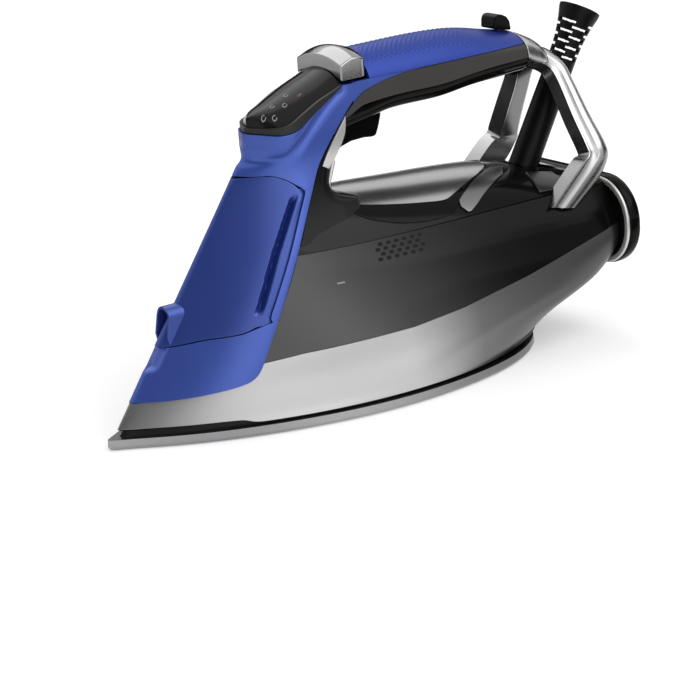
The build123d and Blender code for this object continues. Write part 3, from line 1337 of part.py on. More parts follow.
with BuildPart() as terminal_block:
    floor = between(HEEL - 4, skirt_line(TANK_FLOOR)) + SEAM
    block((HEEL - 20, HEEL - 4), (-TERMINAL_HALF, TERMINAL_HALF), (floor, floor + TERMINAL_HEIGHT))
    for y in (-TERMINAL_PITCH, 0, TERMINAL_PITCH):
        post(HEEL - 12, y, (floor + 4, floor + TERMINAL_HEIGHT + 1), SCREW_DIAMETER, Mode.SUBTRACT)
write(terminal_block, "terminal_block")
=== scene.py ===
import math

import bmesh
import bpy
import numpy as np
from mathutils import Matrix, Vector


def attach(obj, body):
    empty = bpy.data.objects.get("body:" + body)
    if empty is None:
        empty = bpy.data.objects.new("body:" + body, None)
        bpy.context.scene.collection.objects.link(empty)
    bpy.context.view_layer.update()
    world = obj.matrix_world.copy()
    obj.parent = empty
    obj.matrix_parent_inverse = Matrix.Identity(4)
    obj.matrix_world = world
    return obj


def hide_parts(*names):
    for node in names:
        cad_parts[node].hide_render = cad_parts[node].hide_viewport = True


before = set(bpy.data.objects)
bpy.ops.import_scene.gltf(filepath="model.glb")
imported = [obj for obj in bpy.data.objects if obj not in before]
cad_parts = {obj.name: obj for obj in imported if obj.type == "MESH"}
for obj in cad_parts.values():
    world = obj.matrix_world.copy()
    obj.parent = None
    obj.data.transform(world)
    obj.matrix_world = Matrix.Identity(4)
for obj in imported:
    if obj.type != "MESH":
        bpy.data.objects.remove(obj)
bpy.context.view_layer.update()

# Lengths are in millimetres, except in the finishes' painted light and shade, the camera and the studio, which are in
# metres.
# A station is a distance back from the sole's nose tip.
MM = 0.001
NOSE_TO_MIDDLE = 125.0
UP = (0, 0, 1)
QUARTER = math.pi / 2
FULL_TURN = 2 * math.pi

# Curves, tables and grids


def place(station, y, z):
    """Points in the part's frame, in metres, from stations, sideways distances and heights."""
    station, y, z = np.broadcast_arrays(station, y, z)
    return np.stack([(station - NOSE_TO_MIDDLE) * MM, y * MM, z * MM], -1)


def placed(points):
    """The same from one array, whose last axis holds station, sideways distance and height."""
    return place(*np.moveaxis(points, -1, 0))


def smooth(value, knots):
    """Cubic through (key, number) knots, sloped at a knot as its neighbours' chord; held beyond the ends."""
    keys, numbers = np.array(knots, float).T
    reach = np.arange(len(keys))
    low, high = np.maximum(reach - 1, 0), np.minimum(reach + 1, len(keys) - 1)
    slopes = (numbers[high] - numbers[low]) / (keys[high] - keys[low])
    value = np.asarray(value, float)
    i = np.clip(np.searchsorted(keys, value, side="right") - 1, 0, len(keys) - 2)
    gap = keys[i + 1] - keys[i]
    t = np.clip((value - keys[i]) / gap, 0, 1)
    start = numbers[i] * (1 + 2 * t) * (1 - t) ** 2 + slopes[i] * gap * t * (1 - t) ** 2
    return start + numbers[i + 1] * t**2 * (3 - 2 * t) - slopes[i + 1] * gap * t**2 * (1 - t)


def read_rows(rows, value):
    """Columns of a table at a value of its first column, each read from a smooth curve through the rows."""
    return [smooth(value, rows[:, [0, k]]) for k in range(1, rows.shape[1])]


def step(value, low, high):
    """Soft step from 0 at low to 1 at high: 3t^2 - 2t^3."""
    t = np.clip((np.asarray(value, float) - low) / (high - low), 0, 1)
    return t * t * (3 - 2 * t)


def line(points, count, by_chord=True):
    """Smooth curve through points, read at equal shares of its chord length, or at equal steps from point to point."""
    points = np.array(points, float)
    chords = np.linalg.norm(np.diff(points, axis=0), axis=1) if by_chord else np.ones(len(points) - 1)
    run = np.concatenate([[0], np.cumsum(chords)])
    at = np.linspace(0, run[-1], count)
    return np.stack([smooth(at, np.stack([run, column], 1)) for column in points.T], 1)


def between(first, second, count):
    """Grid of straight lines from each point of one curve to the same point of another."""
    return first[:, None] + np.linspace(0, 1, count)[None, :, None] * (second - first)[:, None]


def coons(bottom, top, left, right):
    """Side view grid between four curves: the two ruled blends less the corners' bilinear blend."""
    bottom, top = bottom.copy(), top.copy()
    bottom[0], bottom[-1], top[0], top[-1] = left[0], right[0], left[-1], right[-1]
    u = np.linspace(0, 1, len(bottom))[:, None, None]
    v = np.linspace(0, 1, len(left))[None, :, None]
    ruled = (1 - v) * bottom[:, None] + v * top[:, None] + (1 - u) * left[None] + u * right[None]
    corners = (1 - u) * (1 - v) * bottom[0] + u * (1 - v) * bottom[-1] + (1 - u) * v * top[0] + u * v * top[-1]
    return ruled - corners


def signed_power(value, power):
    """Number whose size is raised to a power and whose sign is kept."""
    return np.sign(value) * np.abs(value) ** power


def round_end(station, start, reach):
    """Quarter ellipse that falls from 1 at a start to 0 at a reach behind it."""
    return np.sqrt(np.clip(1 - (np.maximum(station - start, 0) / reach) ** 2, 0, 1))


def arc_height(y, half, side, top):
    """Height on the circle arc from (half, side) over (0, top)."""
    rise = top - side
    radius = (half**2 + rise**2) / (2 * rise)
    return top - radius + np.sqrt(np.maximum(radius**2 - y**2, 0))


def normals(grid):
    """Unit normals of a grid, from the cross product of its two directions."""
    across = np.cross(np.gradient(grid, axis=0), np.gradient(grid, axis=1))
    return across / np.maximum(np.linalg.norm(across, axis=-1, keepdims=True), 1e-12)


def lifted(grid, height, towards):
    """Grid moved along its normals by a height, on the side where a direction points."""
    facing = normals(grid)
    facing *= np.sign((facing * np.asarray(towards)).sum(-1, keepdims=True) + 1e-12)
    return grid + facing * np.asarray(height)[..., None] * MM


RIDGE_NEAR, RIDGE_FAR = 1.5, 8.0


def ridge_bell(y):
    """Bell that rounds a ridge of slope one: exp(-|y| / near) less exp(-|y| / far), brought to that slope."""
    bell = np.exp(-np.abs(y) / RIDGE_NEAR) - np.exp(-np.abs(y) / RIDGE_FAR)
    return bell / (1 / RIDGE_NEAR - 1 / RIDGE_FAR)


# Body form: height, tail station, width, nose power and heel power of its outlines

BODY_ROWS = np.array([
    (7, 244, 107, 3.4, 4.6), (22, 266, 103, 4.4, 9), (36, 288, 99, 5.4, 22),
    (60, 302, 92, 6.0, 45), (80, 302, 72, 8.0, 45), (103, 302, 46, 10.0, 45)])
NOSE_FOOT, NOSE_LEAN = (4.5, 7.0), 0.70
LAST_SHARE = 0.99
PEAK_STEPS = 41
HEEL = 286.0
DECK_SEAM = 80.0


def fullness(share, nose_power, heel_power):
    """Half width from 0 to about 1: (1 - (1 - t)^nose power) times the root of (1 - t^heel power)."""
    return (1 - (1 - share) ** nose_power) * np.sqrt(np.maximum(0, 1 - share**heel_power))


def body_nose(z):
    """Station of the body's front ridge at a height."""
    return NOSE_FOOT[0] + NOSE_LEAN * (np.asarray(z, float) - NOSE_FOOT[1])


def body_tail(z):
    """Station of the body's tail at a height."""
    return smooth(z, BODY_ROWS[:, [0, 1]])


def body_half(station, z):
    """Half width of the body at a station and a height, from the outline that the height's row gives."""
    station, z = np.broadcast_arrays(np.asarray(station, float), np.asarray(z, float))
    tail, width, nose_power, heel_power = read_rows(BODY_ROWS, z)
    shares = np.linspace(0, 1, PEAK_STEPS).reshape((-1,) + (1,) * z.ndim)
    peak = fullness(shares, nose_power, heel_power).max(0)
    nose = body_nose(z)
    share = np.clip((station - nose) / (tail - nose), 0, 1) * LAST_SHARE
    return width / 2 * fullness(share, nose_power, heel_power) / peak


# Front form: height, ridge station, half width at the blue edge and behind it, and nose power

EDGE_FOOT, EDGE_LEAN = (70.5, 33.3), 0.578
COLUMN_DEPTH = 17.0
SHELL_PROUD, SHELL_POWER = 0.3, 1.6
SHELL_HEIGHTS = (14.0, 36.0, 60.0, 80.0)
POD_ROWS = [
    (101, 70.3, 23.0, 23.0, 1.7), (115.5, 80.4, 19.6, 19.6, 2.0), (122.5, 85.4, 18.5, 18.5, 2.8),
    (128.5, 90.2, 18.3, 18.3, 5.0), (136.5, 91.6, 18.7, 18.7, 7.0), (170.7, 92.1, 18.7, 18.7, 7.0)]
RIDGE_SLOPE = 1.2
NEAR_SIDE = (-0.3, -1, 0.1)


def edge_station(z):
    """Station of the blue shell's straight rear edge at a height."""
    return EDGE_FOOT[0] + EDGE_LEAN * (np.asarray(z, float) - EDGE_FOOT[1])


def shell_row(z):
    """Row of the front form that lies just proud of the body at a height."""
    halves = [body_half(edge_station(z) + behind, z) + SHELL_PROUD for behind in (0, COLUMN_DEPTH)]
    return (z, body_nose(z), *halves, SHELL_POWER)


FRONT_ROWS = np.array([shell_row(z) for z in SHELL_HEIGHTS] + POD_ROWS, float)


def front_side(station, z):
    """Half width of the front form: half (1 - (1 - t)^power) from ridge to blue edge, then straight on."""
    nose, half, rear, power = read_rows(FRONT_ROWS, z)
    edge = edge_station(z)
    share = np.clip((station - nose) / (edge - nose), 0, 1)
    behind = np.clip((station - edge) / COLUMN_DEPTH, 0, 1)
    return half * (1 - (1 - share) ** power) + (rear - half) * behind


def front_near(side_view, lift=0.0):
    """Near side points of the front form over a side view grid, its ridge rounded by a bell, lifted outwards."""
    station, z = side_view[..., 0], side_view[..., 1]
    y = front_side(station, z)
    nose, half, _, power = read_rows(FRONT_ROWS, z)
    slope = np.minimum((edge_station(z) - nose) / (half * power), RIDGE_SLOPE)
    grid = place(station + slope * ridge_bell(y), -y, z)
    if np.any(lift):
        grid = lifted(grid, lift, NEAR_SIDE)
        grid[..., 1] = np.where(y <= 1e-9, 0.0, grid[..., 1])
    return grid


def ridge(low, high, count):
    """Side view curve up the front form's ridge."""
    z = np.linspace(low, high, count)
    return np.stack([smooth(z, FRONT_ROWS[:, [0, 1]]), z], 1)


def edge_line(low, high, count):
    """Side view curve up the straight blue edge."""
    z = np.linspace(low, high, count)
    return np.stack([edge_station(z), z], 1)


# Handle form: station, half width, underside, shoulder and top of its sections

HANDLE_ROWS = np.array([
    (122, 18.5, 125.0, 153.0, 160.0), (138, 18.5, 131.0, 155.3, 166.0), (153.5, 18.5, 133.8, 155.3, 168.2),
    (170, 18.5, 136.5, 155.3, 168.7), (200, 18.5, 136.9, 155.3, 168.7), (222, 17.9, 139.0, 154.9, 167.2),
    (240, 17.5, 139.8, 153.9, 163.6), (258, 17.0, 140.5, 152.7, 160.0), (272, 16.5, 138.5, 150.5, 156.2),
    (284, 14.0, 132.5, 145.3, 149.5)])
CORNER = 9.0
HANDLE_CORE = [(150, 0, 152), (255, 0, 152)]


def handle_side(station, z):
    """Half width of the handle at a height: upright side, a quarter circle below it and the top's arc above it."""
    half, low, shoulder, top = read_rows(HANDLE_ROWS, station)
    rise = top - shoulder
    radius = (half**2 + rise**2) / (2 * rise)
    above = np.sqrt(np.maximum(radius**2 - (np.maximum(z, shoulder) - top + radius) ** 2, 0))
    below = half - CORNER + np.sqrt(np.maximum(CORNER**2 - np.maximum(low + CORNER - z, 0) ** 2, 0))
    return np.where(z > shoulder, above, below)


# Solids and pieces

MERGE, SLIVER = 2e-5, 1e-6


def mirrored(grid):
    """The same grid on the other side of the middle plane, turned so that it still faces outwards."""
    return grid[::-1] * (1, -1, 1)


def both_sides(*grids):
    """Near side grids, each followed by its mirrored copy."""
    return [side for grid in grids for side in (grid, mirrored(grid))]


def prism(outline, half):
    """Closed side view outline drawn out to a half width: points and faces, with one flat face at each end."""
    outline = np.array(outline, float)
    count = len(outline)
    points = np.concatenate([place(outline[:, 0], side * half, outline[:, 1]) for side in (-1, 1)])
    k = np.arange(count)
    walls = np.stack([k, (k + 1) % count, (k + 1) % count + count, k + count], 1).tolist()
    return points, walls + [k[::-1].tolist(), (k + count).tolist()]


def in_slot(stations, half):
    """Test of faces' middles that is true in a lengthwise slot: between two stations, within a half width."""
    def inside(middle):
        station = middle[..., 0] / MM + NOSE_TO_MIDDLE
        return (np.abs(middle[..., 1]) < half * MM) & (station > stations[0]) & (station < stations[1])
    return inside


def grids_mesh(name, grids, solids, gaps):
    """Mesh of grids, less the faces in gaps, and of ready solids, with its seams merged and its faces made to agree."""
    points, faces = [], []
    count = 0
    for grid in grids:
        rows, columns = grid.shape[:2]
        index = np.arange(rows * columns).reshape(rows, columns) + count
        quads = np.stack([index[:-1, :-1], index[1:, :-1], index[1:, 1:], index[:-1, 1:]], -1)
        if gaps is not None:
            quads = quads[~gaps((grid[:-1, :-1] + grid[1:, 1:]) / 2)]
        faces += quads.reshape(-1, 4).tolist()
        points.append(grid.reshape(-1, 3))
        count += rows * columns
    for solid_points, solid_faces in solids:
        faces += [[k + count for k in face] for face in solid_faces]
        points.append(solid_points)
        count += len(solid_points)
    mesh = bpy.data.meshes.new(name)
    mesh.from_pydata(np.concatenate(points).tolist(), [], faces)
    work = bmesh.new()
    work.from_mesh(mesh)
    bmesh.ops.remove_doubles(work, verts=work.verts, dist=MERGE)
    bmesh.ops.dissolve_degenerate(work, edges=work.edges, dist=SLIVER)
    bmesh.ops.recalc_face_normals(work, faces=work.faces)
    work.to_mesh(mesh)
    work.free()
    return mesh


def face_away(mesh, core):
    """Turns a mesh's faces round if, weighed by area, they look towards a core line and not away from it."""
    count = len(mesh.polygons)
    centre, facing, area = np.empty(count * 3), np.empty(count * 3), np.empty(count)
    for label, values in (("center", centre), ("normal", facing), ("area", area)):
        mesh.polygons.foreach_get(label, values)
    centre, facing = centre.reshape(-1, 3), facing.reshape(-1, 3)
    first, last = placed(np.array(core, float))
    along = last - first
    share = np.clip(((centre - first) @ along) / (along @ along), 0, 1)
    out = centre - first - share[:, None] * along
    if ((out * facing).sum(1) * area).sum() < 0:
        mesh.flip_normals()


def make_piece(name, grids, material, body, stands_for=(), core=None, wall=0.0, edge=0.0, segments=2,
               angle=40.0, solids=(), gaps=None):
    """One object from grids of points and ready solids, faced away from its core line.

    The wall is grown inwards by Solidify, and Bevel rounds every edge sharper than the angle.
    """
    mesh = grids_mesh(name, grids, solids, gaps)
    if core is not None:
        face_away(mesh, core)
    mesh.shade_smooth()
    mesh.materials.append(material)
    piece = bpy.data.objects.new(name, mesh)
    bpy.context.scene.collection.objects.link(piece)
    if wall:
        solid = piece.modifiers.new("wall", "SOLIDIFY")
        solid.thickness = wall * MM
        solid.offset = -1
        solid.use_even_offset = False
        solid.use_rim = True
    if edge:
        bevel = piece.modifiers.new("edge", "BEVEL")
        bevel.width = edge * MM
        bevel.segments = segments
        bevel.limit_method = "ANGLE"
        bevel.angle_limit = math.radians(angle)
        piece.modifiers.new("shading", "WEIGHTED_NORMAL").keep_sharp = True
    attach(piece, body)
    if stands_for:
        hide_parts(*stands_for)
    return piece


# Shared effects


def new_group(name, numbers, outputs):
    """Empty shader group with a colour input and named number inputs, a colour output and named number outputs."""
    group = bpy.data.node_groups.new(name, "ShaderNodeTree")
    for side, labels in (("INPUT", numbers), ("OUTPUT", outputs)):
        group.interface.new_socket("Colour", in_out=side, socket_type="NodeSocketColor")
        for label in labels:
            group.interface.new_socket(label, in_out=side, socket_type="NodeSocketFloat")
    return group, group.nodes.new("NodeGroupInput"), group.nodes.new("NodeGroupOutput")


def drifted(group, pattern, depth, level=None):
    """Number that wanders about a level, or about 1, with a pattern: (pattern - 0.5) times depth plus the level."""
    centred = group.nodes.new("ShaderNodeMath")
    centred.operation = "SUBTRACT"
    centred.inputs[1].default_value = 0.5
    group.links.new(pattern, centred.inputs[0])
    sum_up = group.nodes.new("ShaderNodeMath")
    sum_up.operation = "MULTIPLY_ADD"
    group.links.new(centred.outputs[0], sum_up.inputs[0])
    group.links.new(depth, sum_up.inputs[1])
    if level is None:
        sum_up.inputs[2].default_value = 1.0
    else:
        group.links.new(level, sum_up.inputs[2])
    return sum_up.outputs[0]


def finish_group(name, fine, slow_scale, slow):
    """Effect shared by finishes: a fine pattern as height, a slow one that moves roughness and shades the colour."""
    group, given, out = new_group(name, ["Scale", "Rough", "Drift", "Shade"], ["Rough", "Height"])
    spot = group.nodes.new("ShaderNodeTexCoord")
    patterns = []
    for squeeze, detail in (fine, slow):
        stretch = group.nodes.new("ShaderNodeMapping")
        stretch.inputs["Scale"].default_value = squeeze
        noise = group.nodes.new("ShaderNodeTexNoise")
        noise.inputs["Detail"].default_value = detail
        group.links.new(spot.outputs["Object"], stretch.inputs["Vector"])
        group.links.new(stretch.outputs["Vector"], noise.inputs["Vector"])
        patterns.append(noise)
    group.links.new(given.outputs["Scale"], patterns[0].inputs["Scale"])
    patterns[1].inputs["Scale"].default_value = slow_scale
    wander = patterns[1].outputs["Fac"]
    group.links.new(drifted(group, wander, given.outputs["Drift"], given.outputs["Rough"]), out.inputs["Rough"])
    group.links.new(patterns[0].outputs["Fac"], out.inputs["Height"])
    gain = group.nodes.new("ShaderNodeVectorMath")
    gain.operation = "SCALE"
    group.links.new(given.outputs["Colour"], gain.inputs[0])
    group.links.new(drifted(group, wander, given.outputs["Shade"]), gain.inputs["Scale"])
    group.links.new(gain.outputs["Vector"], out.inputs["Colour"])
    return group


GRAIN = finish_group("moulded_grain", ((1, 1, 1), 2.0), 38.0, ((1, 1, 1), 3.0))
BRUSHED = finish_group("brushed_lines", ((0.015, 1, 1), 4.0), 3.0, ((14, 900, 900), 4.0))
BUMP_DEPTH = 0.0005

# Finishes


def painted_light_ramp(nodes, links, colour, painted_light, along):
    """Painted light and shade: colour times gains at places along a direction, from a ramp over the dot product of
    place and direction.
    """
    spot = nodes.new("ShaderNodeTexCoord")
    reach = nodes.new("ShaderNodeVectorMath")
    reach.operation = "DOT_PRODUCT"
    reach.inputs[1].default_value = along
    links.new(spot.outputs["Object"], reach.inputs[0])
    first, last = painted_light[0][0], painted_light[-1][0]
    run = nodes.new("ShaderNodeMapRange")
    run.inputs["From Min"].default_value, run.inputs["From Max"].default_value = first, last
    links.new(reach.outputs["Value"], run.inputs["Value"])
    ramp = nodes.new("ShaderNodeValToRGB")
    ramp.color_ramp.interpolation = "B_SPLINE"
    links.new(run.outputs["Result"], ramp.inputs["Fac"])
    stops = ramp.color_ramp.elements
    for at, _ in painted_light[1:-1]:
        stops.new((at - first) / (last - first))
    for stop, (_, gain) in zip(stops, painted_light):
        stop.color = (*[c * gain for c in colour], 1)
    return ramp.outputs["Color"]


def finish(name, colour, rough=0.3, metal=0.0, specular=0.5, coat=0.0, coat_rough=0.08, grain=900.0, drift=0.05,
           bump=0.02, shade=0.12, brushed=False, painted_light=(), along=(1, 0, 0)):
    """Material of one finish: its colour varied by the effect's random shade, and by painted light and shade at places
    along a direction.
    """
    material = bpy.data.materials.new(name)
    material.use_nodes = True
    nodes, links = material.node_tree.nodes, material.node_tree.links
    shader = nodes["Principled BSDF"]
    shader.inputs["Metallic"].default_value = metal
    shader.inputs["Specular IOR Level"].default_value = specular
    shader.inputs["Coat Weight"].default_value = coat
    shader.inputs["Coat Roughness"].default_value = coat_rough
    effect = nodes.new("ShaderNodeGroup")
    effect.node_tree = BRUSHED if brushed else GRAIN
    for label, value in (("Scale", grain), ("Rough", rough), ("Drift", drift), ("Shade", 2 * shade)):
        effect.inputs[label].default_value = value
    effect.inputs["Colour"].default_value = (*colour, 1)
    if painted_light:
        links.new(painted_light_ramp(nodes, links, colour, painted_light, along), effect.inputs["Colour"])
    links.new(effect.outputs["Colour"], shader.inputs["Base Color"])
    links.new(effect.outputs["Rough"], shader.inputs["Roughness"])
    height = nodes.new("ShaderNodeBump")
    height.inputs["Strength"].default_value = bump
    height.inputs["Distance"].default_value = BUMP_DEPTH
    links.new(effect.outputs["Height"], height.inputs["Height"])
    links.new(height.outputs["Normal"], shader.inputs["Normal"])
    return material


def grey(level):
    """Colour of equal parts."""
    return (level, level, level)


SATIN = {"metal": 0.45, "coat": 0.12, "coat_rough": 0.2, "grain": 2600, "bump": 0.05, "shade": 0.05}
BLUE = finish("satin_blue", (0.043, 0.086, 0.38), rough=0.36, **SATIN)
# Door blue is a darker copy of the satin blue: painted shade on the door and its tab.
SHADED_DOOR_BLUE = finish("door_blue_painted_shade", (0.029, 0.060, 0.285), rough=0.34, **SATIN)
# Handle top blue: its pebbled grain is its own, but its colour darker than the satin blue is painted shade.
BLUE_GRIP = finish("pebbled_blue_painted_shade", (0.020, 0.044, 0.26), rough=0.40, metal=0.6, specular=0.4, grain=1500, bump=0.10,
                   shade=0.06)

# Skirt's silver: its gains along the iron are painted light: painted reflection brightest just behind the middle,
# painted shade at the nose and towards the heel.
SILVER = finish("satin_silver_painted_light", grey(0.62), rough=0.34, metal=0.92, brushed=True, bump=0.05, shade=0.05,
                painted_light=[(-0.13, 0.42), (-0.09, 0.64), (-0.05, 0.64), (-0.02, 0.62), (0.01, 0.85), (0.03, 0.92),
                       (0.065, 0.20), (0.16, 0.12)])
POLISH = {"grain": 3000, "bump": 0.03, "shade": 0.03}
# Bracket silver: darker towards the bottom of the arms' lower legs, which is painted shade.
BRIGHT = finish("bracket_silver", grey(0.50), rough=0.26, metal=1.0, along=UP, **POLISH,
                painted_light=[(0.07, 0.34), (0.085, 0.42), (0.096, 0.62), (0.105, 0.95), (0.16, 1.0)])
BUTTON_SILVER = finish("button_silver", grey(0.29), rough=0.15, metal=1.0, **POLISH)
TRIM = finish("trim_silver", (0.60, 0.59, 0.57), rough=0.32, metal=0.7, **POLISH)
# Sole: painted reflection, bright at the nose tip and near the middle, and painted shade, darker between them and
# towards the heel.
SOLE = finish("brushed_sole_painted_light", (0.40, 0.40, 0.405), rough=0.26, metal=1.0, brushed=True, bump=0.15, shade=0.10,
              painted_light=[(-0.12, 0.80), (-0.07, 0.58), (-0.03, 0.95), (0.01, 0.85), (0.05, 0.60), (0.12, 0.42)])
CASTING = finish("cast_metal", (0.40, 0.40, 0.41), rough=0.55, metal=0.9, grain=700, bump=0.3, shade=0.15)
STEEL = finish("plain_steel", (0.50, 0.50, 0.51), rough=0.3, metal=1.0, grain=1800, bump=0.04, shade=0.05)

# Smoked tank: painted reflection at the front and low down, fading to painted shade towards the heel and the top.
TANK = finish("smoked_tank_painted_light", grey(0.12), rough=0.14, specular=0.06, grain=400, bump=0.01, shade=0.05, along=(1, 0, 0.8),
              painted_light=[(-0.01, 0.70), (0.02, 1.0), (0.045, 0.58), (0.075, 0.34), (0.10, 0.16), (0.13, 0.04),
                     (0.17, 0.02)])
SHINE = {"rough": 0.10, "specular": 0.07, "grain": 500, "bump": 0.008, "shade": 0.1}
GLOSS = finish("gloss_black", grey(0.0035), **SHINE)
# Deck: painted reflection at the front, fading to painted shade towards the heel.
DECK_GLOSS = finish("deck_gloss_painted_light", grey(0.030), **SHINE,
                    painted_light=[(-0.03, 1.0), (0.015, 0.80), (0.05, 0.35), (0.09, 0.12), (0.17, 0.10)])
# Column: painted reflection low down, painted shade towards its top under the pod.
COLUMN_GLOSS = finish("column_gloss_painted_light", grey(0.030), along=UP, **SHINE,
                      painted_light=[(0.084, 1.0), (0.096, 0.80), (0.108, 0.30), (0.114, 0.12), (0.129, 0.12)])
SHEEN = {"grain": 2500, "bump": 0.02, "shade": 0.05}
# Deck leaves: copies of one metal whose greys are painted light: a pale painted reflection on the front leaf, darker
# painted shade on the blades and rear leaves.
LEAF = finish("deck_leaf", grey(0.44), rough=0.22, metal=0.95, **SHEEN)
SECOND_LEAF = finish("second_leaf_painted_shade", grey(0.17), rough=0.24, metal=0.95, **SHEEN)
# Grey of the bracket's dark strips, which are painted shade on the arms' front and inner faces.
SHADE_STRIP_METAL = finish("bracket_painted_shade", grey(0.20), rough=0.22, metal=0.9, **SHEEN)
REAR_LEAF = finish("rear_leaf_painted_shade", grey(0.05), rough=0.24, metal=0.8, **SHEEN)

LENS = finish("lens_black", grey(0.010), rough=0.16, specular=0.14, grain=300, bump=0.004, shade=0.05)
BEZEL = finish("bezel_grey", (0.016, 0.016, 0.017), rough=0.34, specular=0.25, grain=2200, bump=0.05, shade=0.08)
GRIP = finish("soft_grip", (0.040, 0.037, 0.035), rough=0.6, specular=0.25, grain=1700, bump=0.15, shade=0.10)
FRAME = finish("frame_black", grey(0.006), rough=0.5, specular=0.2, grain=1500, bump=0.08, shade=0.1)
GUARD = finish("guard_rubber", grey(0.004), rough=0.36, specular=0.10, grain=1600, bump=0.1)
INNER = finish("inner_plastic", (0.09, 0.09, 0.10), rough=0.5, grain=1500, bump=0.08, shade=0.1)
RUBBER = finish("seal_rubber", grey(0.03), rough=0.7, grain=1500, bump=0.1, shade=0.1)
BOARD = finish("board_green", (0.02, 0.10, 0.035), rough=0.4, grain=1200, bump=0.05, shade=0.15)
RED_MARK = finish("dim_red_mark", (0.10, 0.006, 0.008), rough=0.4, grain=1500, shade=0.05)
MARK = finish("pale_mark", grey(0.24), rough=0.5, grain=1500, shade=0.05)

CAD_FINISH = {
    "sole_plate": SOLE, "heater_casting": CASTING, "heating_element": STEEL, "chamber_gasket": RUBBER,
    "chamber_cover": STEEL, "temperature_sensor": INNER, "thermal_fuse": INNER, "base_frame": FRAME,
    "sole_screws": STEEL, "water_tank": TANK, "drip_valve": INNER, "deck_cover": DECK_GLOSS, "door_hinge_pin": FRAME,
    "fill_funnel": INNER, "door_seal": RUBBER, "control_board": BOARD, "boost_switch": INNER, "trigger_pin": STEEL,
    "slider_carriage": INNER, "bracket_screws": STEEL, "rear_cover": FRAME, "rear_screws": STEEL,
    "cord_drum": GUARD, "drum_cradle": INNER, "terminal_block": INNER}
for node, material in CAD_FINISH.items():
    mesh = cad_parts[node].data
    mesh.materials.clear()
    mesh.materials.append(material)

# Skirt

SKIRT_FOOT = [(4, 9.0), (30, 8.8), (56, 8.5), (61, 7.2), (66, 6.7), (240, 6.7), (286, 7.0)]
SKIRT_TOP = np.array([
    (-20, 18.5), (28, 20.7), (45, 22.6), (61, 25.2), (66, 27.5), (68.8, 30.5), (70.5, 33.3), (90, 35),
    (150, 36), (181, 39), (223, 46), (246, 51), (286, 60), (306, 64.5)])
SKIRT_GUESS = (8.0, 33.0)
SETTLE_ROUNDS = 60
SKIRT_END = HEEL - 0.1
SKIRT_RIDGE, SKIRT_SLOPE, SKIRT_BELL = 300.0, 0.9, 0.75


def skirt_grid(rows, columns):
    """Near half of the skirt: shares along each height's outline from ridge to heel, heights up to its top line.

    A height depends on its station and the station on its height, so both settle over some rounds.
    """
    along = (1 - np.cos(np.pi * np.linspace(0, 1, columns))) / 2
    share, up = np.meshgrid(along, np.linspace(0, 1, rows), indexing="ij")
    z = SKIRT_GUESS[0] + up * (SKIRT_GUESS[1] - SKIRT_GUESS[0])
    for _ in range(SETTLE_ROUNDS):
        nose = body_nose(z)
        station = nose + share * (np.minimum(body_tail(z), SKIRT_END) - nose)
        low, high = smooth(station, SKIRT_FOOT), np.interp(station, *SKIRT_TOP.T)
        z = 0.5 * z + 0.5 * (low + up * (high - low))
    y = body_half(station, z)
    y[0] = 0.0
    slope = np.minimum((body_tail(z) - body_nose(z)) / SKIRT_RIDGE, SKIRT_SLOPE)
    station = station + SKIRT_BELL * slope * ridge_bell(y) * (share < 0.5)
    return place(station, -y, z)


make_piece("skirt_shell", both_sides(skirt_grid(30, 150)), SILVER, "base", ["skirt"],
           core=[(60, 0, 20), (230, 0, 30)], wall=2.2, edge=0.5)

# Front shell: lower band with a scoop, side strips beside the door, neck with its crease, roof, rib, shoulder, ledges

SHELL_CORE = [(70, 0, 40), (120, 0, 150)]
SCOOP_DEPTH, SCOOP_START, SCOOP_HALF = 3.0, (33.0, 36.0), 4.2
band_bottom = line([(13.9, 20.4), (28, 20.95), (45, 22.85), (61, 25.45), (66, 27.75), (68.9, 30.7), (70.6, 33.6)], 70)
band_top = line([(30.5, 44.1), (36, 44.1), (49.4, 46.6), (63.7, 48.1), (70.5, 50.0), (78.2, 51.6), (81.4, 52.2)], 70)
band_view = coons(band_bottom, band_top, ridge(20.4, 44.1, 36), edge_line(33.6, 52.2, 36))
scoop = np.exp(-(front_side(band_view[..., 0], band_view[..., 1]) / SCOOP_HALF) ** 4)
band = front_near(band_view)
band[..., 0] += SCOOP_DEPTH * MM * scoop * step(band_view[..., 1], *SCOOP_START)

strip_left = line([(78.2, 51.6), (77.9, 54), (81.3, 60), (93.3, 79.7), (107.3, 103.5), (109.5, 107.3),
                   (109.7, 108.6)], 70)
strip_right = edge_line(52.2, 109.5, 70)
strip_bottom, strip_top = [line([strip_left[k], strip_right[k]], 9) for k in (0, -1)]
strip = front_near(coons(strip_bottom, strip_top, strip_left, strip_right))


def curve_distance(side_view, curve):
    """Signed distance in side view from a curve drawn from nose to heel: above it is positive."""
    gap = side_view[..., None, :] - curve
    nearest = np.argmin((gap**2).sum(-1), -1)
    tangent = np.gradient(curve, axis=0)[nearest]
    away = np.take_along_axis(gap, nearest[..., None, None], -2)[..., 0, :]
    side = np.sign(tangent[..., 0] * away[..., 1] - tangent[..., 1] * away[..., 0])
    return side * np.linalg.norm(away, axis=-1)


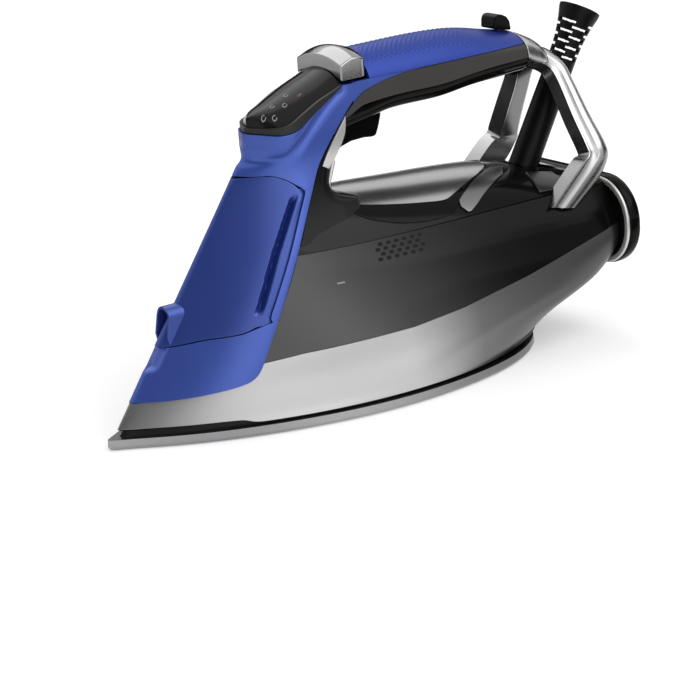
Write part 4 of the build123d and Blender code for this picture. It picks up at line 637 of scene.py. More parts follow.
CREASE = line([(70, 125.0), (95, 125.0), (103, 125.6), (108.6, 129.4), (117, 137.7), (126.6, 146.7), (136, 153.6)], 160)
CREASE_DEPTH, CREASE_BELOW, CREASE_WIDTH = 1.1, 0.8, 2.2
CHIN_RISE, CHIN_REACH, CHIN_FADE = 1.3, 5.5, (82, 92)
neck_right = line([(114.5, 109.5), (119.2, 117.6), (126, 126.6), (132, 134.2), (138, 141.4), (143, 146.6), (148, 150.6),
                   (151, 152.6), (153.5, 154.9)], 50)
neck_bottom = line([(82.2, 118.3), (84, 118.1), (88, 117.6), (92, 117.4), (96, 117.3), (101.5, 115.1), (105.8, 112.0),
                    (108.7, 109.8), (109.7, 108.6), (112, 108.8), (114.5, 109.5)], 110)
neck_top = line([(91.6, 137.1), (95, 137.1), (102, 136.5), (109.4, 138.1), (116, 142.2), (123, 146.3), (132, 151.6),
                 (136.4, 154.3), (139, 154.9), (153.5, 154.9)], 110)
neck_view = coons(neck_bottom, neck_top, ridge(118.3, 137.1, 50), neck_right)
above_crease = curve_distance(neck_view, CREASE)
groove = CREASE_DEPTH * np.exp(-((above_crease + CREASE_BELOW) / CREASE_WIDTH) ** 2)
chin = CHIN_RISE * step(above_crease, 0.0, CHIN_REACH) - groove
neck = front_near(neck_view, chin * step(neck_view[..., 0], *CHIN_FADE))

# Ledge behind the door's side seam, wider at its head and foot
LEDGE_HEIGHTS, LEDGE_DROP, LEDGE_ACROSS = (50.8, 110), 2.3, (-1.6, 3.0)
LEDGE_AHEAD = ((54, 60, 79.7, 103.5, 107.3), (6.6, 6.4, 5.8, 5.4, 5.7))
LEDGE_HEAD, LEDGE_HEAD_FADE = 1.0, (104, 108)
LEDGE_FOOT, LEDGE_FOOT_FADE = 1.2, (-55, -52)
ledge_z = np.linspace(*LEDGE_HEIGHTS, 66)[:, None]
ledge_side = edge_station(ledge_z) - np.interp(ledge_z, *LEDGE_AHEAD)
ledge_wide = 1 + LEDGE_HEAD * step(ledge_z, *LEDGE_HEAD_FADE) + LEDGE_FOOT * step(-ledge_z, *LEDGE_FOOT_FADE)
ledge_go = np.linspace(*LEDGE_ACROSS, 8)[None, :] * ledge_wide
door_ledge = front_near(np.stack([ledge_side + ledge_go, ledge_z + 0 * ledge_go], -1), -LEDGE_DROP)

# Roof under the button, and rib in the middle plane behind the door
ROOF_STATIONS, ROOF_HALF, ROOF_HEIGHT = (133, 153.3), 18.0, 153.2
roof = place(np.linspace(*ROOF_STATIONS, 9)[:, None], np.linspace(-ROOF_HALF, ROOF_HALF, 13)[None, :], ROOF_HEIGHT)
RIB_HEIGHTS, RIB_REAR = (100, 126), 113
RIB_FRONT = ((100, 118, 126), (87.5, 87.5, 92.5))
rib_go, rib_z = np.meshgrid(np.linspace(0, 1, 12), np.linspace(*RIB_HEIGHTS, 14), indexing="ij")
rib_front = np.interp(rib_z, *RIB_FRONT)
rib = place(rib_front + rib_go * (RIB_REAR - rib_front), 0.0, rib_z)

# Shoulder between the grip band's upper edge and the handle's top
GRIP_EDGE = [(135.4, 137.9), (137.6, 140.1), (143.5, 145.3), (149.4, 149.4), (158, 152.2), (167, 154.0), (176, 155.0),
             (184, 155.25)]
SHOULDER_TOP, SIDE_TOP = 155.35, 155.2
SHOULDER_TUCK, TUCK_FADE = 0.25, (-156, -153)
shoulder_low = line(GRIP_EDGE[2:], 90)
shoulder_high = np.stack([shoulder_low[:, 0], np.full(len(shoulder_low), SHOULDER_TOP)], 1)
shoulder_s, shoulder_z = np.moveaxis(between(shoulder_low, shoulder_high, 8), -1, 0)
shoulder_y = handle_side(shoulder_s, np.minimum(shoulder_z, SIDE_TOP)) - SHOULDER_TUCK * step(-shoulder_s, *TUCK_FADE)
shoulder = place(shoulder_s, -shoulder_y, shoulder_z)

make_piece("front_shell_moulding", both_sides(band, strip, neck) + [roof, rib] + both_sides(shoulder, door_ledge), BLUE,
           "base", ["front_shell"], core=SHELL_CORE, wall=2.0, edge=0.45)

# Fill door with its side slot and hooded finger tab

SLOT_PLACE = ((50, 57.1, 81.8, 106.3, 112), (69.1, 73.1, 87.1, 103.4, 107.2))
SLOT_DEPTH, SLOT_REACH, SLOT_SLANT, SLOT_POWER = 4.4, 1.7, 0.86, 0.8
SLOT_START, SLOT_END = (55.5, 60), (-107.5, -103.5)
LIP_RISE, LIP_AWAY, LIP_WIDTH = 0.3, 2.5, 1.2
door_right = line([(75.0, 53.2), (76.1, 54.6), (79.5, 60), (91.5, 79.7), (105.6, 103.5), (107.2, 107.0),
                   (107.0, 109.4)], 90)
door_bottom = line([(30.8, 44.6), (36, 44.6), (49.4, 47.1), (63.7, 48.6), (70.5, 50.9), (75.0, 53.2)], 130)
door_top = line([(81.4, 116.9), (84, 117.0), (96, 116.9), (101.5, 114.6), (105.0, 111.9), (107.0, 109.4)], 130)
door_view = coons(door_bottom, door_top, ridge(44.6, 116.9, 90), door_right)
door_z = door_view[..., 1]
from_slot = (door_view[..., 0] - np.interp(door_z, *SLOT_PLACE)) * SLOT_SLANT
slot_run = step(door_z, *SLOT_START) * step(-door_z, *SLOT_END)
slot = SLOT_DEPTH * np.maximum(1 - np.abs(from_slot) / SLOT_REACH, 0) ** SLOT_POWER
lip = LIP_RISE * np.exp(-((from_slot - LIP_AWAY) / LIP_WIDTH) ** 2)
# The door's darker blue is painted shade.
make_piece("fill_door_moulding", both_sides(front_near(door_view, (lip - slot) * slot_run)), SHADED_DOOR_BLUE, "fill_door",
           ["fill_door"], core=SHELL_CORE, wall=2.0, edge=0.4)

TAB_HALF, TAB_LOW, TAB_HIGH = 5.8, 44.8, 63.0
TAB_MOUTH = ((TAB_LOW, 49, TAB_HIGH), (34.6, 33.8, 36.4))
TAB_HOLLOW, TAB_ROOT, TAB_LEAST = 0.03, 1.2, 0.6


def tab_grid(count, depth):
    """Hood of the finger tab: an arch across the iron, carried back from its leaning mouth into the door."""
    spring = TAB_HIGH - TAB_HALF
    leg = spring - TAB_LOW
    run = np.linspace(0, 2 * leg + math.pi * TAB_HALF, count)
    angle = np.clip((run - leg) / TAB_HALF, 0, math.pi)
    y = -TAB_HALF * np.cos(angle)
    z = spring + TAB_HALF * np.sin(angle)
    z = np.where(run < leg, TAB_LOW + run, np.where(run > leg + math.pi * TAB_HALF, TAB_LOW + run[-1] - run, z))
    mouth = np.interp(z, *TAB_MOUTH) + TAB_HOLLOW * y**2
    nose, half, _, power = read_rows(FRONT_ROWS, z)
    share = 1 - (1 - np.abs(y) / half) ** (1 / power)
    back = np.maximum(nose + share * (edge_station(z) - nose) + TAB_ROOT, mouth + TAB_LEAST)
    return place(mouth[:, None] + np.linspace(0, 1, depth) * (back - mouth)[:, None], y[:, None], z[:, None])


make_piece("finger_tab", [tab_grid(60, 12)], SHADED_DOOR_BLUE, "fill_door", core=[(40, 0, 45), (40, 0, 57)],
           wall=1.2, edge=0.35)

# Column and its trim strips

COLUMN_REAR = [(84, 150), (98, 146), (100.6, 138.5), (102.4, 133.2), (105, 129.6), (108.6, 128.0), (114.2, 128.8),
               (120.3, 130.9), (124.3, 133.5), (128.4, 136.2)]
COLUMN_FRONT = np.array([(84, 100.0), (108, 114.0), (117.6, 119.5), (126.6, 126.4), (129, 128.3)])
COLUMN_HEIGHTS = (84, 128.4)
COLUMN_POWER, COLUMN_BEHIND, COLUMN_INSET = 0.45, 4.0, 0.15


def column_grid(rows, columns):
    """Column: upright stack of rounded plans, station by |cos|^0.45 and width by |sin|^0.45 over half a turn."""
    z = np.linspace(*COLUMN_HEIGHTS, rows)[:, None]
    turn = np.linspace(-QUARTER, QUARTER, columns)[None, :]
    front, rear = np.interp(z, *COLUMN_FRONT.T), smooth(z, COLUMN_REAR)
    half = front_side(front + COLUMN_BEHIND, z) - COLUMN_INSET
    station = front + (rear - front) * np.abs(np.cos(turn)) ** COLUMN_POWER
    return place(station, half * signed_power(np.sin(turn), COLUMN_POWER), z)


make_piece("column_moulding", [column_grid(60, 61)], COLUMN_GLOSS, "base", ["column_back"],
           core=[(105, 0, 90), (120, 0, 128)], wall=1.6, edge=0.3)

TRIM_LIFT = 0.9
trim_front = line([(121.6, 118.0), (126.6, 125.4), (132.3, 133.4), (137.3, 140.2)], 40)
trim_rear = line([(124.9, 116.2), (129.6, 120.8), (133.7, 126.2), (136.3, 131.6), (137.3, 140.2)], 40)
make_piece("column_trim_strips", both_sides(front_near(between(trim_front, trim_rear, 8), TRIM_LIFT)), TRIM, "base",
           ["column_trim"], core=[(115, 0, 118), (128, 0, 140)], wall=0.9, edge=0.3)

TRIM_PATH = [(129.6, -17.4, 119.8), (127.0, -17.6, 112.3), (125.2, -18.0, 106.3), (127.6, -18.6, 100.4),
             (134.8, -20.0, 95.8), (142.0, -21.3, 92.6)]
TRIM_RADII = (1.3, 0.6)


def tube_grid(path, radii, count, around):
    """Round tube along a smooth path from one radius to another, closed at both ends: circles square to the path."""
    middle = line(path, count)
    ahead = np.gradient(middle, axis=0)
    ahead /= np.linalg.norm(ahead, axis=1, keepdims=True)
    first = np.cross(ahead, (0.0, 1.0, 0.0))
    first /= np.linalg.norm(first, axis=1, keepdims=True)
    second = np.cross(ahead, first)
    turn = np.linspace(0, FULL_TURN, around)[None, :, None]
    size = np.concatenate([[0], np.linspace(*radii, count - 2), [0]])[:, None, None]
    return placed(middle[:, None] + size * (np.cos(turn) * first[:, None] + np.sin(turn) * second[:, None]))


make_piece("trim_lines", both_sides(tube_grid(TRIM_PATH, TRIM_RADII, 60, 17)), TRIM, "base")

# Control pod: bezel wall and ledge, lens, marks

BEZEL_LINE = [(80, 137.2), (94, 137.2), (102, 136.6), (109.4, 138.2), (116, 142.3), (123, 146.4), (132, 151.7),
              (136.4, 154.4)]
LENS_EDGE = [(86, 139.9), (98, 140.2), (105, 141.2), (113, 145.5), (122, 150.0), (131.6, 153.5), (136.2, 155.4)]
LENS_CROWN = [(91, 143.6), (92.5, 144.6), (98, 147.0), (105, 149.4), (113, 152.6), (122, 156.3), (131.6, 160.1),
              (136.2, 162.0)]
POD_NOSE, POD_FULL, POD_REAR = 91.4, 132, 136.2
POD_HALF, POD_POWER = 18.7, 7
BEZEL_PROUD, BEZEL_ABOVE, BEZEL_RIM = 0.9, 0.25, 0.1
BEZEL_LEDGE, BEZEL_NOSE_LEDGE, BEZEL_NOSE_FADE = 3.0, 2.2, 5
LENS_INSET, LENS_ABOVE, LENS_POWER = 0.9, 0.25, 2.4
LENS_CORE = [(95, 0, 120), (130, 0, 140)]


def pod_plan(station, inset=0.0):
    """Half width of the pod's plan at a station: half (1 - (1 - t)^7) less an inset."""
    share = np.clip((station - POD_NOSE - inset) / (POD_FULL - POD_NOSE), 0, 1)
    return (POD_HALF - inset) * (1 - (1 - share) ** POD_POWER)


def along_pod(count, inset=0.0):
    """Stations from the pod's nose to the button, close together at the nose."""
    return POD_NOSE + inset + (POD_REAR - POD_NOSE - inset) * np.linspace(0, 1, count) ** 2


bezel_s = along_pod(60)[:, None]
bezel_half = pod_plan(bezel_s)
bezel_low, bezel_high = smooth(bezel_s, BEZEL_LINE) + BEZEL_ABOVE, smooth(bezel_s, LENS_EDGE) + BEZEL_RIM
bezel_up, bezel_in = np.linspace(0, 1, 7)[None, :], np.linspace(0, 1, 4)[None, :]
bezel_wall = place(bezel_s, -bezel_half - BEZEL_PROUD, bezel_low + bezel_up * (bezel_high - bezel_low))
bezel_y = (bezel_half + BEZEL_PROUD) * (1 - bezel_in) + np.maximum(bezel_half - BEZEL_LEDGE, 0) * bezel_in
bezel_back = BEZEL_NOSE_LEDGE * bezel_in * np.exp(-(bezel_s - POD_NOSE) / BEZEL_NOSE_FADE)
bezel_ledge = place(bezel_s + bezel_back, -bezel_y, bezel_high)
bezel_wall[0, :, 1] = bezel_ledge[0, :, 1] = 0.0
make_piece("pod_bezel", both_sides(bezel_wall, bezel_ledge), BEZEL, "base", ["panel_bezel"],
           core=[(110, 0, 130), (130, 0, 140)], wall=1.4, edge=0.5)


def lens_height(station, across):
    """Height of the lens: its edge plus the crown's rise times 1 - |w|^2.4 across."""
    low = smooth(station, LENS_EDGE) + LENS_ABOVE
    return low + (smooth(station, LENS_CROWN) - low) * (1 - np.abs(across) ** LENS_POWER)


def lens_grid(rows, columns):
    """Lens: its height over the pod's plan."""
    station = along_pod(rows, LENS_INSET)[:, None]
    across = np.sin(np.linspace(-QUARTER, QUARTER, columns))[None, :]
    return place(station, across * pod_plan(station, LENS_INSET), lens_height(station, across))


make_piece("panel_lens_glass", [lens_grid(80, 61)], LENS, "base", ["panel_lens"], core=LENS_CORE,
           wall=1.0, edge=0.35)

LENS_MARKS = [(97.8, -7.4), (101.6, -11.2), (104.6, -5.2), (109.0, -9.6), (113.4, -4.6)]
MARK_LIFT, MARK_WALL = 0.12, 0.2
MARK_RADII, MARK_TURN = (0.85, 1.25), (math.radians(30), math.radians(330))


def on_lens(station, y):
    """Points just proud of the lens at stations and sideways distances."""
    across = np.clip(y / pod_plan(station, LENS_INSET), -1, 1)
    return place(station, y, lens_height(station, across) + MARK_LIFT)


def ring_mark(station, y):
    """Flat ring about a spot on the lens, open over a sixth of its turn."""
    radius = np.linspace(*MARK_RADII, 3)[:, None]
    turn = np.linspace(*MARK_TURN, 28)[None, :]
    return on_lens(station + radius * np.cos(turn), y + radius * np.sin(turn))


make_piece("lens_marks", [ring_mark(station, y) for station, y in LENS_MARKS], MARK, "base",
           core=LENS_CORE, wall=MARK_WALL)
BAR_STATIONS, BAR_SIDES = (116.0, 118.6), (-11.0, -9.8)
bar_s, bar_y = np.meshgrid(np.linspace(*BAR_STATIONS, 6), np.linspace(*BAR_SIDES, 4), indexing="ij")
make_piece("lens_red_mark", [on_lens(bar_s, bar_y)], RED_MARK, "base", core=LENS_CORE, wall=MARK_WALL)

# Boost button

BUTTON_ENDS = (136.8, 153.0)
BUTTON_ARCH = [(136.8, 161.0), (144.9, 161.5), (153.0, 161.5)]
BUTTON_SIDE = [(136.8, 164.3), (144.9, 167.2), (153.0, 165.6)]
BUTTON_TOP = [(136.8, 168.4), (144.9, 171.5), (153.0, 169.8)]
BUTTON_BASE, BUTTON_HALF = 156.9, 18.6
BUTTON_ROUND, BUTTON_DRAWN = (149, 4.05), 4.0


def button_solid(rows, columns):
    """Cap: sections along the iron of arched base, upright sides and arched top, closed by a flat face at each end."""
    station = np.linspace(*BUTTON_ENDS, rows)[:, None]
    half = BUTTON_HALF - BUTTON_DRAWN * (1 - round_end(station, *BUTTON_ROUND))
    y = np.linspace(-1, 1, columns)[None, :] * half
    top = arc_height(y, half, smooth(station, BUTTON_SIDE), smooth(station, BUTTON_TOP))
    base = arc_height(y, half, BUTTON_BASE, smooth(station, BUTTON_ARCH))
    loop = np.concatenate([place(station, y, top), place(station, y, base)[:, ::-1]], 1)
    index = np.arange(loop[..., 0].size).reshape(rows, -1)
    beside = np.roll(index, -1, 1)
    walls = np.stack([index[:-1], index[1:], beside[1:], beside[:-1]], -1).reshape(-1, 4).tolist()
    return loop.reshape(-1, 3), walls + [index[0].tolist(), index[-1][::-1].tolist()]


make_piece("boost_button_cap", [], BUTTON_SILVER, "boost_button", ["boost_button"],
           core=[(145, -8, 163), (145, 8, 163)], edge=0.8, segments=3, angle=35, solids=[button_solid(14, 41)])

# Handle: top, slider, grip band, underside, trigger

TOP_STATIONS, TOP_SPLIT = (153.9, 254.7), 155.5
PIP_RISE, PIP_PITCH, PIP_POWER = 0.32, 3.0, 0.7
PIPS_START, PIPS_END, PIPS_SIDE = (156, 160), (-226, -214), (-15.5, -13.5)
TRACK_STATIONS, TRACK_HALF = (227.0, 253.0), 1.6


def blue_top_grid(rows, columns):
    """Blue top of the handle: the section's arc above the split, with rows of low rounded pips."""
    station = np.linspace(*TOP_STATIONS, rows)[:, None]
    half, _, shoulder, top = read_rows(HANDLE_ROWS, station)
    across = np.sin(np.linspace(-QUARTER, QUARTER, columns))[None, :]
    y = across * np.minimum(handle_side(station, np.full_like(station, TOP_SPLIT)), half)
    wave = FULL_TURN / PIP_PITCH
    pips = np.maximum(np.cos(wave * station) * np.cos(wave * y), 0) ** PIP_POWER
    inside = step(station, *PIPS_START) * step(-station, *PIPS_END) * step(-np.abs(y), *PIPS_SIDE)
    return lifted(place(station, y, arc_height(y, half, shoulder, top)), PIP_RISE * pips * inside, UP)


make_piece("handle_top", [blue_top_grid(300, 110)], BLUE_GRIP, "base", ["handle_shell"], core=HANDLE_CORE,
           wall=2.0, edge=0.4, gaps=in_slot(TRACK_STATIONS, TRACK_HALF))

KNOB = [(243.0, 0.5), (243.3, 4.8), (244.2, 7.0), (246.0, 8.2), (249.0, 8.3), (251.6, 7.4), (253.4, 5.4), (254.2, 0.5)]
KNOB_FOOT, KNOB_SLOPE, KNOB_HALF = (240, 163.6), 0.2, 5.8
knob_outline = [(station, KNOB_FOOT[1] - KNOB_SLOPE * (station - KNOB_FOOT[0]) + rise) for station, rise in KNOB]
make_piece("slider_button", [], GLOSS, "slider", ["slider_knob"], core=[(248, -2, 165), (248, 2, 165)],
           edge=1.5, segments=4, angle=25, solids=[prism(knob_outline, KNOB_HALF)])

GRIP_SEAM = 0.2
grip_low = line([(135.4, 137.8), (140, 139.1), (148, 142.8), (155, 143.9), (172.6, 144.8), (197.6, 144.8), (225, 147.1),
                 (249, 148.1), (254.7, 148.1)], 150)
grip_high = line([(station, z - GRIP_SEAM) for station, z in GRIP_EDGE] + [(225, SIDE_TOP), (254.7, SIDE_TOP)], 150)
grip_s, grip_z = np.moveaxis(between(grip_low, grip_high, 14), -1, 0)
make_piece("handle_grip_band", both_sides(place(grip_s, -handle_side(grip_s, grip_z), grip_z)), GRIP, "base",
           ["handle_grip"], core=HANDLE_CORE, wall=2.4, edge=0.4)

UNDER_TOP = [(128.2, 129.0), (132, 133.8), (135.3, 137.2), (140, 138.8), (148, 142.5), (155, 143.6), (172.6, 144.5),
             (197.6, 144.5), (225, 146.8), (249, 147.8), (255, 147.6), (261, 144.9)]
UNDER_FRONT, UNDER_ROUND, UNDER_REACH, UNDER_SPARE, UNDER_DRAWN = 128.4, 254, 7, 0.05, 0.45
TRIGGER_SLOT, TRIGGER_SLOT_HALF = (136.4, 171.0), 8.3


def under_grid():
    """Underside: from the near grip line round the corner's quarter circle, straight across, and up the far side."""
    stops = [UNDER_FRONT, *TRIGGER_SLOT, UNDER_ROUND]
    runs = [np.linspace(*stops[k:k + 2], count)[:-1] for k, count in enumerate((9, 30, 60))]
    station = np.concatenate([*runs, UNDER_ROUND + UNDER_REACH * np.sin(np.linspace(0, QUARTER, 12))])[:, None]
    half, low, _, _ = read_rows(HANDLE_ROWS, station)
    top = smooth(station, UNDER_TOP)
    close = round_end(station, UNDER_ROUND, UNDER_REACH + UNDER_SPARE)
    low = top - (top - low) * close
    start = np.arcsin(np.clip((low + CORNER - top) / CORNER, 0, 1))
    turn = start + (QUARTER - start) * np.linspace(0, 1, 12)[None, :]
    side_y = half - CORNER + CORNER * np.cos(turn)
    side_z = low + CORNER - CORNER * np.sin(turn)
    flat_y = TRIGGER_SLOT_HALF + (half - CORNER - TRIGGER_SLOT_HALF) * np.linspace(1, 0, 4)[None, 1:]
    flat_z = np.broadcast_to(low, flat_y.shape)
    y = np.concatenate([-side_y, -flat_y, 0 * station, flat_y[:, ::-1], side_y[:, ::-1]], 1)
    z = np.concatenate([side_z, flat_z, low, flat_z, side_z[:, ::-1]], 1)
    return place(station, y * (1 - UNDER_DRAWN + UNDER_DRAWN * close), z)


make_piece("handle_underside", [under_grid()], GLOSS, "base", ["handle_under"], core=HANDLE_CORE,
           wall=1.8, edge=0.3, gaps=in_slot(TRIGGER_SLOT, TRIGGER_SLOT_HALF))

TRIGGER = [(137.6, 119.5), (142, 122.0), (148, 123.6), (156, 123.9), (160.5, 123.4), (162.6, 123.5), (163.6, 124.4),
           (165.4, 128.6), (166.9, 133.4), (167.2, 139.0), (150, 140.0), (144, 138.0), (139.8, 134.0), (137.4, 128.0)]
TRIGGER_HALF = 8.0
make_piece("trigger_lever", [], GLOSS, "steam_trigger", ["steam_trigger"],
           core=[(150, -3, 130), (150, 3, 130)], edge=1.1, segments=3, angle=25, solids=[prism(TRIGGER, TRIGGER_HALF)])

# Rear bracket: collar round the handle's end, two arms between guide lines, dark strips of painted shade along the arms

ARM_REAR = [(255.2, -8.0, 155.8), (263, -9.6, 153.8), (272.4, -11.6, 151.2), (280.4, -16.6, 142.6),
            (281.8, -22, 133.8), (283.8, -32.2, 116.4), (285.9, -40.4, 103), (286.0, -43, 95), (281.2, -43.4, 85.8),
            (273.6, -43.4, 78.6), (263.6, -43.4, 71.6)]
ARM_FRONT = [(255.2, -16.0, 148.6), (260, -16.8, 145.8), (265.0, -17.6, 143.8), (269.2, -18.8, 140.2),
             (270.7, -23, 132.6), (271.0, -31.6, 117.6), (271.8, -40.4, 102.8), (271.6, -42.6, 98),
             (266.6, -43.4, 94.4), (257.0, -43.4, 86.0), (245.2, -43.4, 75.2)]
ARM_THICK = [(0.0, 7.0), (0.3, 9.5), (0.5, 10.5), (0.68, 11.0), (0.8, 11.0), (1.0, 11.0)]
# Section in shares of half width and half thickness, one list for each stretch between crisp corners
ARM_SECTION = [[(-1.0, 0.80), (-0.90, 0.83)], [(-0.90, 0.83), (-0.72, 0.60), (-0.45, 0.68), (-0.12, 0.94)],
               [(-0.12, 0.94), (0.30, 1.0), (0.76, 0.74), (1.0, 0.10), (0.96, -0.6), (0.80, -1.0)],
               [(0.80, -1.0), (-0.90, -1.0)], [(-0.90, -1.0), (-1.0, 0.80)]]
SHADE_STRIP_ROWS = 220
# Strips of painted shade: first and last share of the arm's length, and the two places of its section that the strip
# lies between
SHADE_STRIPS = [(0.29, 0.67, (-0.935, -0.96), (-1.035, 0.70)), (0.30, 0.68, (-0.76, -1.03), (0.66, -1.03))]
SHADE_STRIP_END, SHADE_STRIP_TIP = 12, 0.03


def arm_frames(rows):
    """Middle, half width and half thickness of the arm, as directions, at equal steps between its guide lines."""
    rear, front = [line(guide, rows, by_chord=False) for guide in (ARM_REAR, ARM_FRONT)]
    wide = (rear - front) / 2
    out = np.cross(wide, np.gradient(rear + front, axis=0))
    out /= np.linalg.norm(out, axis=1, keepdims=True)
    out *= -np.sign(out[:, 1:2])
    out *= smooth(np.linspace(0, 1, rows), ARM_THICK)[:, None] / 2
    return (rear + front) / 2 - out, wide, out


def on_arm(frames, section):
    """Points of a section, in shares of half width and half thickness, carried along the arm."""
    middle, wide, out = [part[:, None] for part in frames]
    return middle + wide * section[..., :1] + out * section[..., 1:]


def arm_grid(rows):
    """One arm: a section with a crisp front and a round rear edge, carried along it and drawn in at its ends."""
    stretches = [line(points, 9)[:-1] for points in ARM_SECTION]
    section = np.concatenate(stretches + [stretches[0][:1]])
    grid = on_arm(arm_frames(rows), section[None])
    ends = [np.broadcast_to(end.mean(1, keepdims=True), end.shape) for end in (grid[:1], grid[-1:])]
    return placed(np.concatenate([ends[0], grid, ends[1]]))


def arm_shade_strip(first, last, low, high):
    """Strip of painted shade on the arm between two places of its section, from one share of its length to another,
    with round ends.
    """
    frames = [part[int(first * SHADE_STRIP_ROWS):int(last * SHADE_STRIP_ROWS)] for part in arm_frames(SHADE_STRIP_ROWS)]
    along = np.linspace(-1, 1, len(frames[0]))[:, None, None]
    fit = SHADE_STRIP_TIP + (1 - SHADE_STRIP_TIP) * np.sqrt(1 - np.abs(along) ** SHADE_STRIP_END)
    low, high = np.array(low), np.array(high)
    return placed(on_arm(frames, (low + high) / 2 + np.linspace(-1, 1, 7)[None, :, None] * fit * (high - low) / 2))


COLLAR_TOP = [(255, 160.4), (258, 159.4), (262, 157.5), (266, 155.5), (270, 153.2), (274, 150.8)]
COLLAR_LOW = ((255, 261, 273), (148.0, 145.1, 141.5))
COLLAR_FRONT, COLLAR_ROUND, COLLAR_REACH, COLLAR_SPARE = 255, 263, 11, 0.02
COLLAR_PROUD, COLLAR_POWER = 0.6, 0.83
COLLAR_DRAWN, COLLAR_SUNK = 0.55, 0.7


def collar_grid(rows, columns):
    """Collar: upper half superellipses over the handle's end, closing in a quarter ellipse behind it."""
    straight = np.linspace(COLLAR_FRONT, COLLAR_ROUND, rows // 2)[:-1]
    bend = COLLAR_ROUND + COLLAR_REACH * np.sin(np.linspace(0, QUARTER, rows))
    station = np.concatenate([straight, bend])[:, None]
    close = round_end(station, COLLAR_ROUND, COLLAR_REACH + COLLAR_SPARE)
    half = read_rows(HANDLE_ROWS, station)[0] + COLLAR_PROUD
    low = np.interp(station, *COLLAR_LOW)
    turn = np.linspace(-QUARTER, QUARTER, columns)[None, :]
    y = half * signed_power(np.sin(turn), COLLAR_POWER)
    rise = (smooth(station, COLLAR_TOP) - low) * np.abs(np.cos(turn)) ** COLLAR_POWER
    drawn, sunk = 1 - COLLAR_DRAWN * (1 - close), 1 - COLLAR_SUNK * (1 - close)
    return place(station, y * drawn, low + rise * sunk)


make_piece("handle_collar", [collar_grid(16, 61)], BRIGHT, "base",
           core=[(255, 0, 150), (268, 0, 147)], wall=1.6, edge=0.5, segments=3)
# Dark strips along the arms' front and inner faces: painted shade.
make_piece("bracket_shade_strips", both_sides(*[arm_shade_strip(*shaded_band) for shaded_band in SHADE_STRIPS]), SHADE_STRIP_METAL, "base")
make_piece("handle_bracket", both_sides(arm_grid(110)), BRIGHT, "base", ["rear_bracket"],
           edge=0.7, segments=3, angle=30)

# Heel

HEEL_HEIGHT = 58.8


def stadium(width, height, round_by, count):
    """Rounded rectangle about the heel's centre: corner circles whose centre runs along each side between two corners.

    Gives points and outward directions at equal steps of the loop.
    """
    long_side, short_side, arc = width - 2 * round_by, height - 2 * round_by, QUARTER * round_by
    knots = np.cumsum([0, arc, long_side, arc, short_side, arc, long_side, arc, short_side])
    run = np.linspace(0, knots[-1], count)
    angle = np.interp(run, knots, np.array([0, 1, 1, 2, 2, 3, 3, 4, 4]) * QUARTER)
    out_y, out_z = np.cos(angle), np.sin(angle)
    y = np.interp(run, knots, np.array([1, 1, -1, -1, -1, -1, 1, 1, 1]) * long_side / 2) + round_by * out_y
    z = np.interp(run, knots, np.array([1, 1, 1, 1, -1, -1, -1, -1, 1]) * short_side / 2) + round_by * out_z
    return y[:, None], z[:, None], out_y[:, None], out_z[:, None]


def ring_grid(width, height, round_by, inward, stations, power, count=260, around=28):
    """Ring round the heel: a superellipse section carried round a rounded rectangle."""
    y, z, out_y, out_z = stadium(width, height, round_by, count)
    turn = np.linspace(0, FULL_TURN, around)[None, :]
    lift = inward / 2 * (signed_power(np.cos(turn), 2 / power) - 1)
    middle, half = (stations[0] + stations[1]) / 2, (stations[1] - stations[0]) / 2
    depth = middle + half * signed_power(np.sin(turn), 2 / power)
    return place(depth, y + out_y * lift, HEEL_HEIGHT + z + out_z * lift)


rest_ring = ring_grid(width=108, height=47.6, round_by=22.8, inward=10.0, stations=(286.1, 295), power=3.2)
make_piece("heel_rest_ring", [rest_ring], GLOSS, "base", ["heel_ring"])
light_band = ring_grid(width=106.6, height=46.2, round_by=22.1, inward=3.0, stations=(285.3, 287.3), power=3.0)
make_piece("heel_light_band", [light_band], TRIM, "base", ["heel_band"])

# Cord guard

GUARD_PROFILE = [(12, 7.75), (50, 7.6), (76, 7.5), (84, 7.9), (93, 9.3), (99, 10.8), (101, 11.0)]
PIVOT = (254.8, 76.0)
LEAN = math.radians(30)
ROW_START, ROW_PITCH, ROW_COUNT, ROW_HIGH = 73.5, 2.7, 8, 1.55
ROW_TURN, ROW_OPEN = math.radians(-49.3), math.radians(36)
ROW_TILT, ROW_TILT_TURN = 0.157, math.radians(-139.3)


def guard_grid(rows, columns):
    """Guard: circles of the profile's radius about an axis that leans back 30 degrees."""
    run = np.linspace(GUARD_PROFILE[0][0], GUARD_PROFILE[-1][0], rows)[:, None]
    turn = np.linspace(0, FULL_TURN, columns)[None, :]
    radius = smooth(run, GUARD_PROFILE)
    side, fore = radius * np.cos(turn), radius * np.sin(turn)
    station = PIVOT[0] + run * math.sin(LEAN) + fore * math.cos(LEAN)
    z = PIVOT[1] + run * math.cos(LEAN) - fore * math.sin(LEAN)
    return place(station, side, z)


def in_guard_slot(middle):
    """True in the guard's slots: three to a leaning row, turned a sixth of a turn from row to row."""
    back = middle[..., 0] / MM + NOSE_TO_MIDDLE - PIVOT[0]
    side, up = middle[..., 1] / MM, middle[..., 2] / MM - PIVOT[1]
    fore = back * math.cos(LEAN) - up * math.sin(LEAN)
    tilt = ROW_TILT * (side * math.cos(ROW_TILT_TURN) + fore * math.sin(ROW_TILT_TURN))
    run = back * math.sin(LEAN) + up * math.cos(LEAN) + tilt - ROW_START
    row = np.floor(run / ROW_PITCH)
    in_row = (run - row * ROW_PITCH < ROW_HIGH) & (row >= 0) & (row < ROW_COUNT)
    around = np.arctan2(fore, side) - ROW_TURN - (row % 2) * math.pi / 3
    return in_row & (np.cos(3 * around) > math.cos(3 * ROW_OPEN))


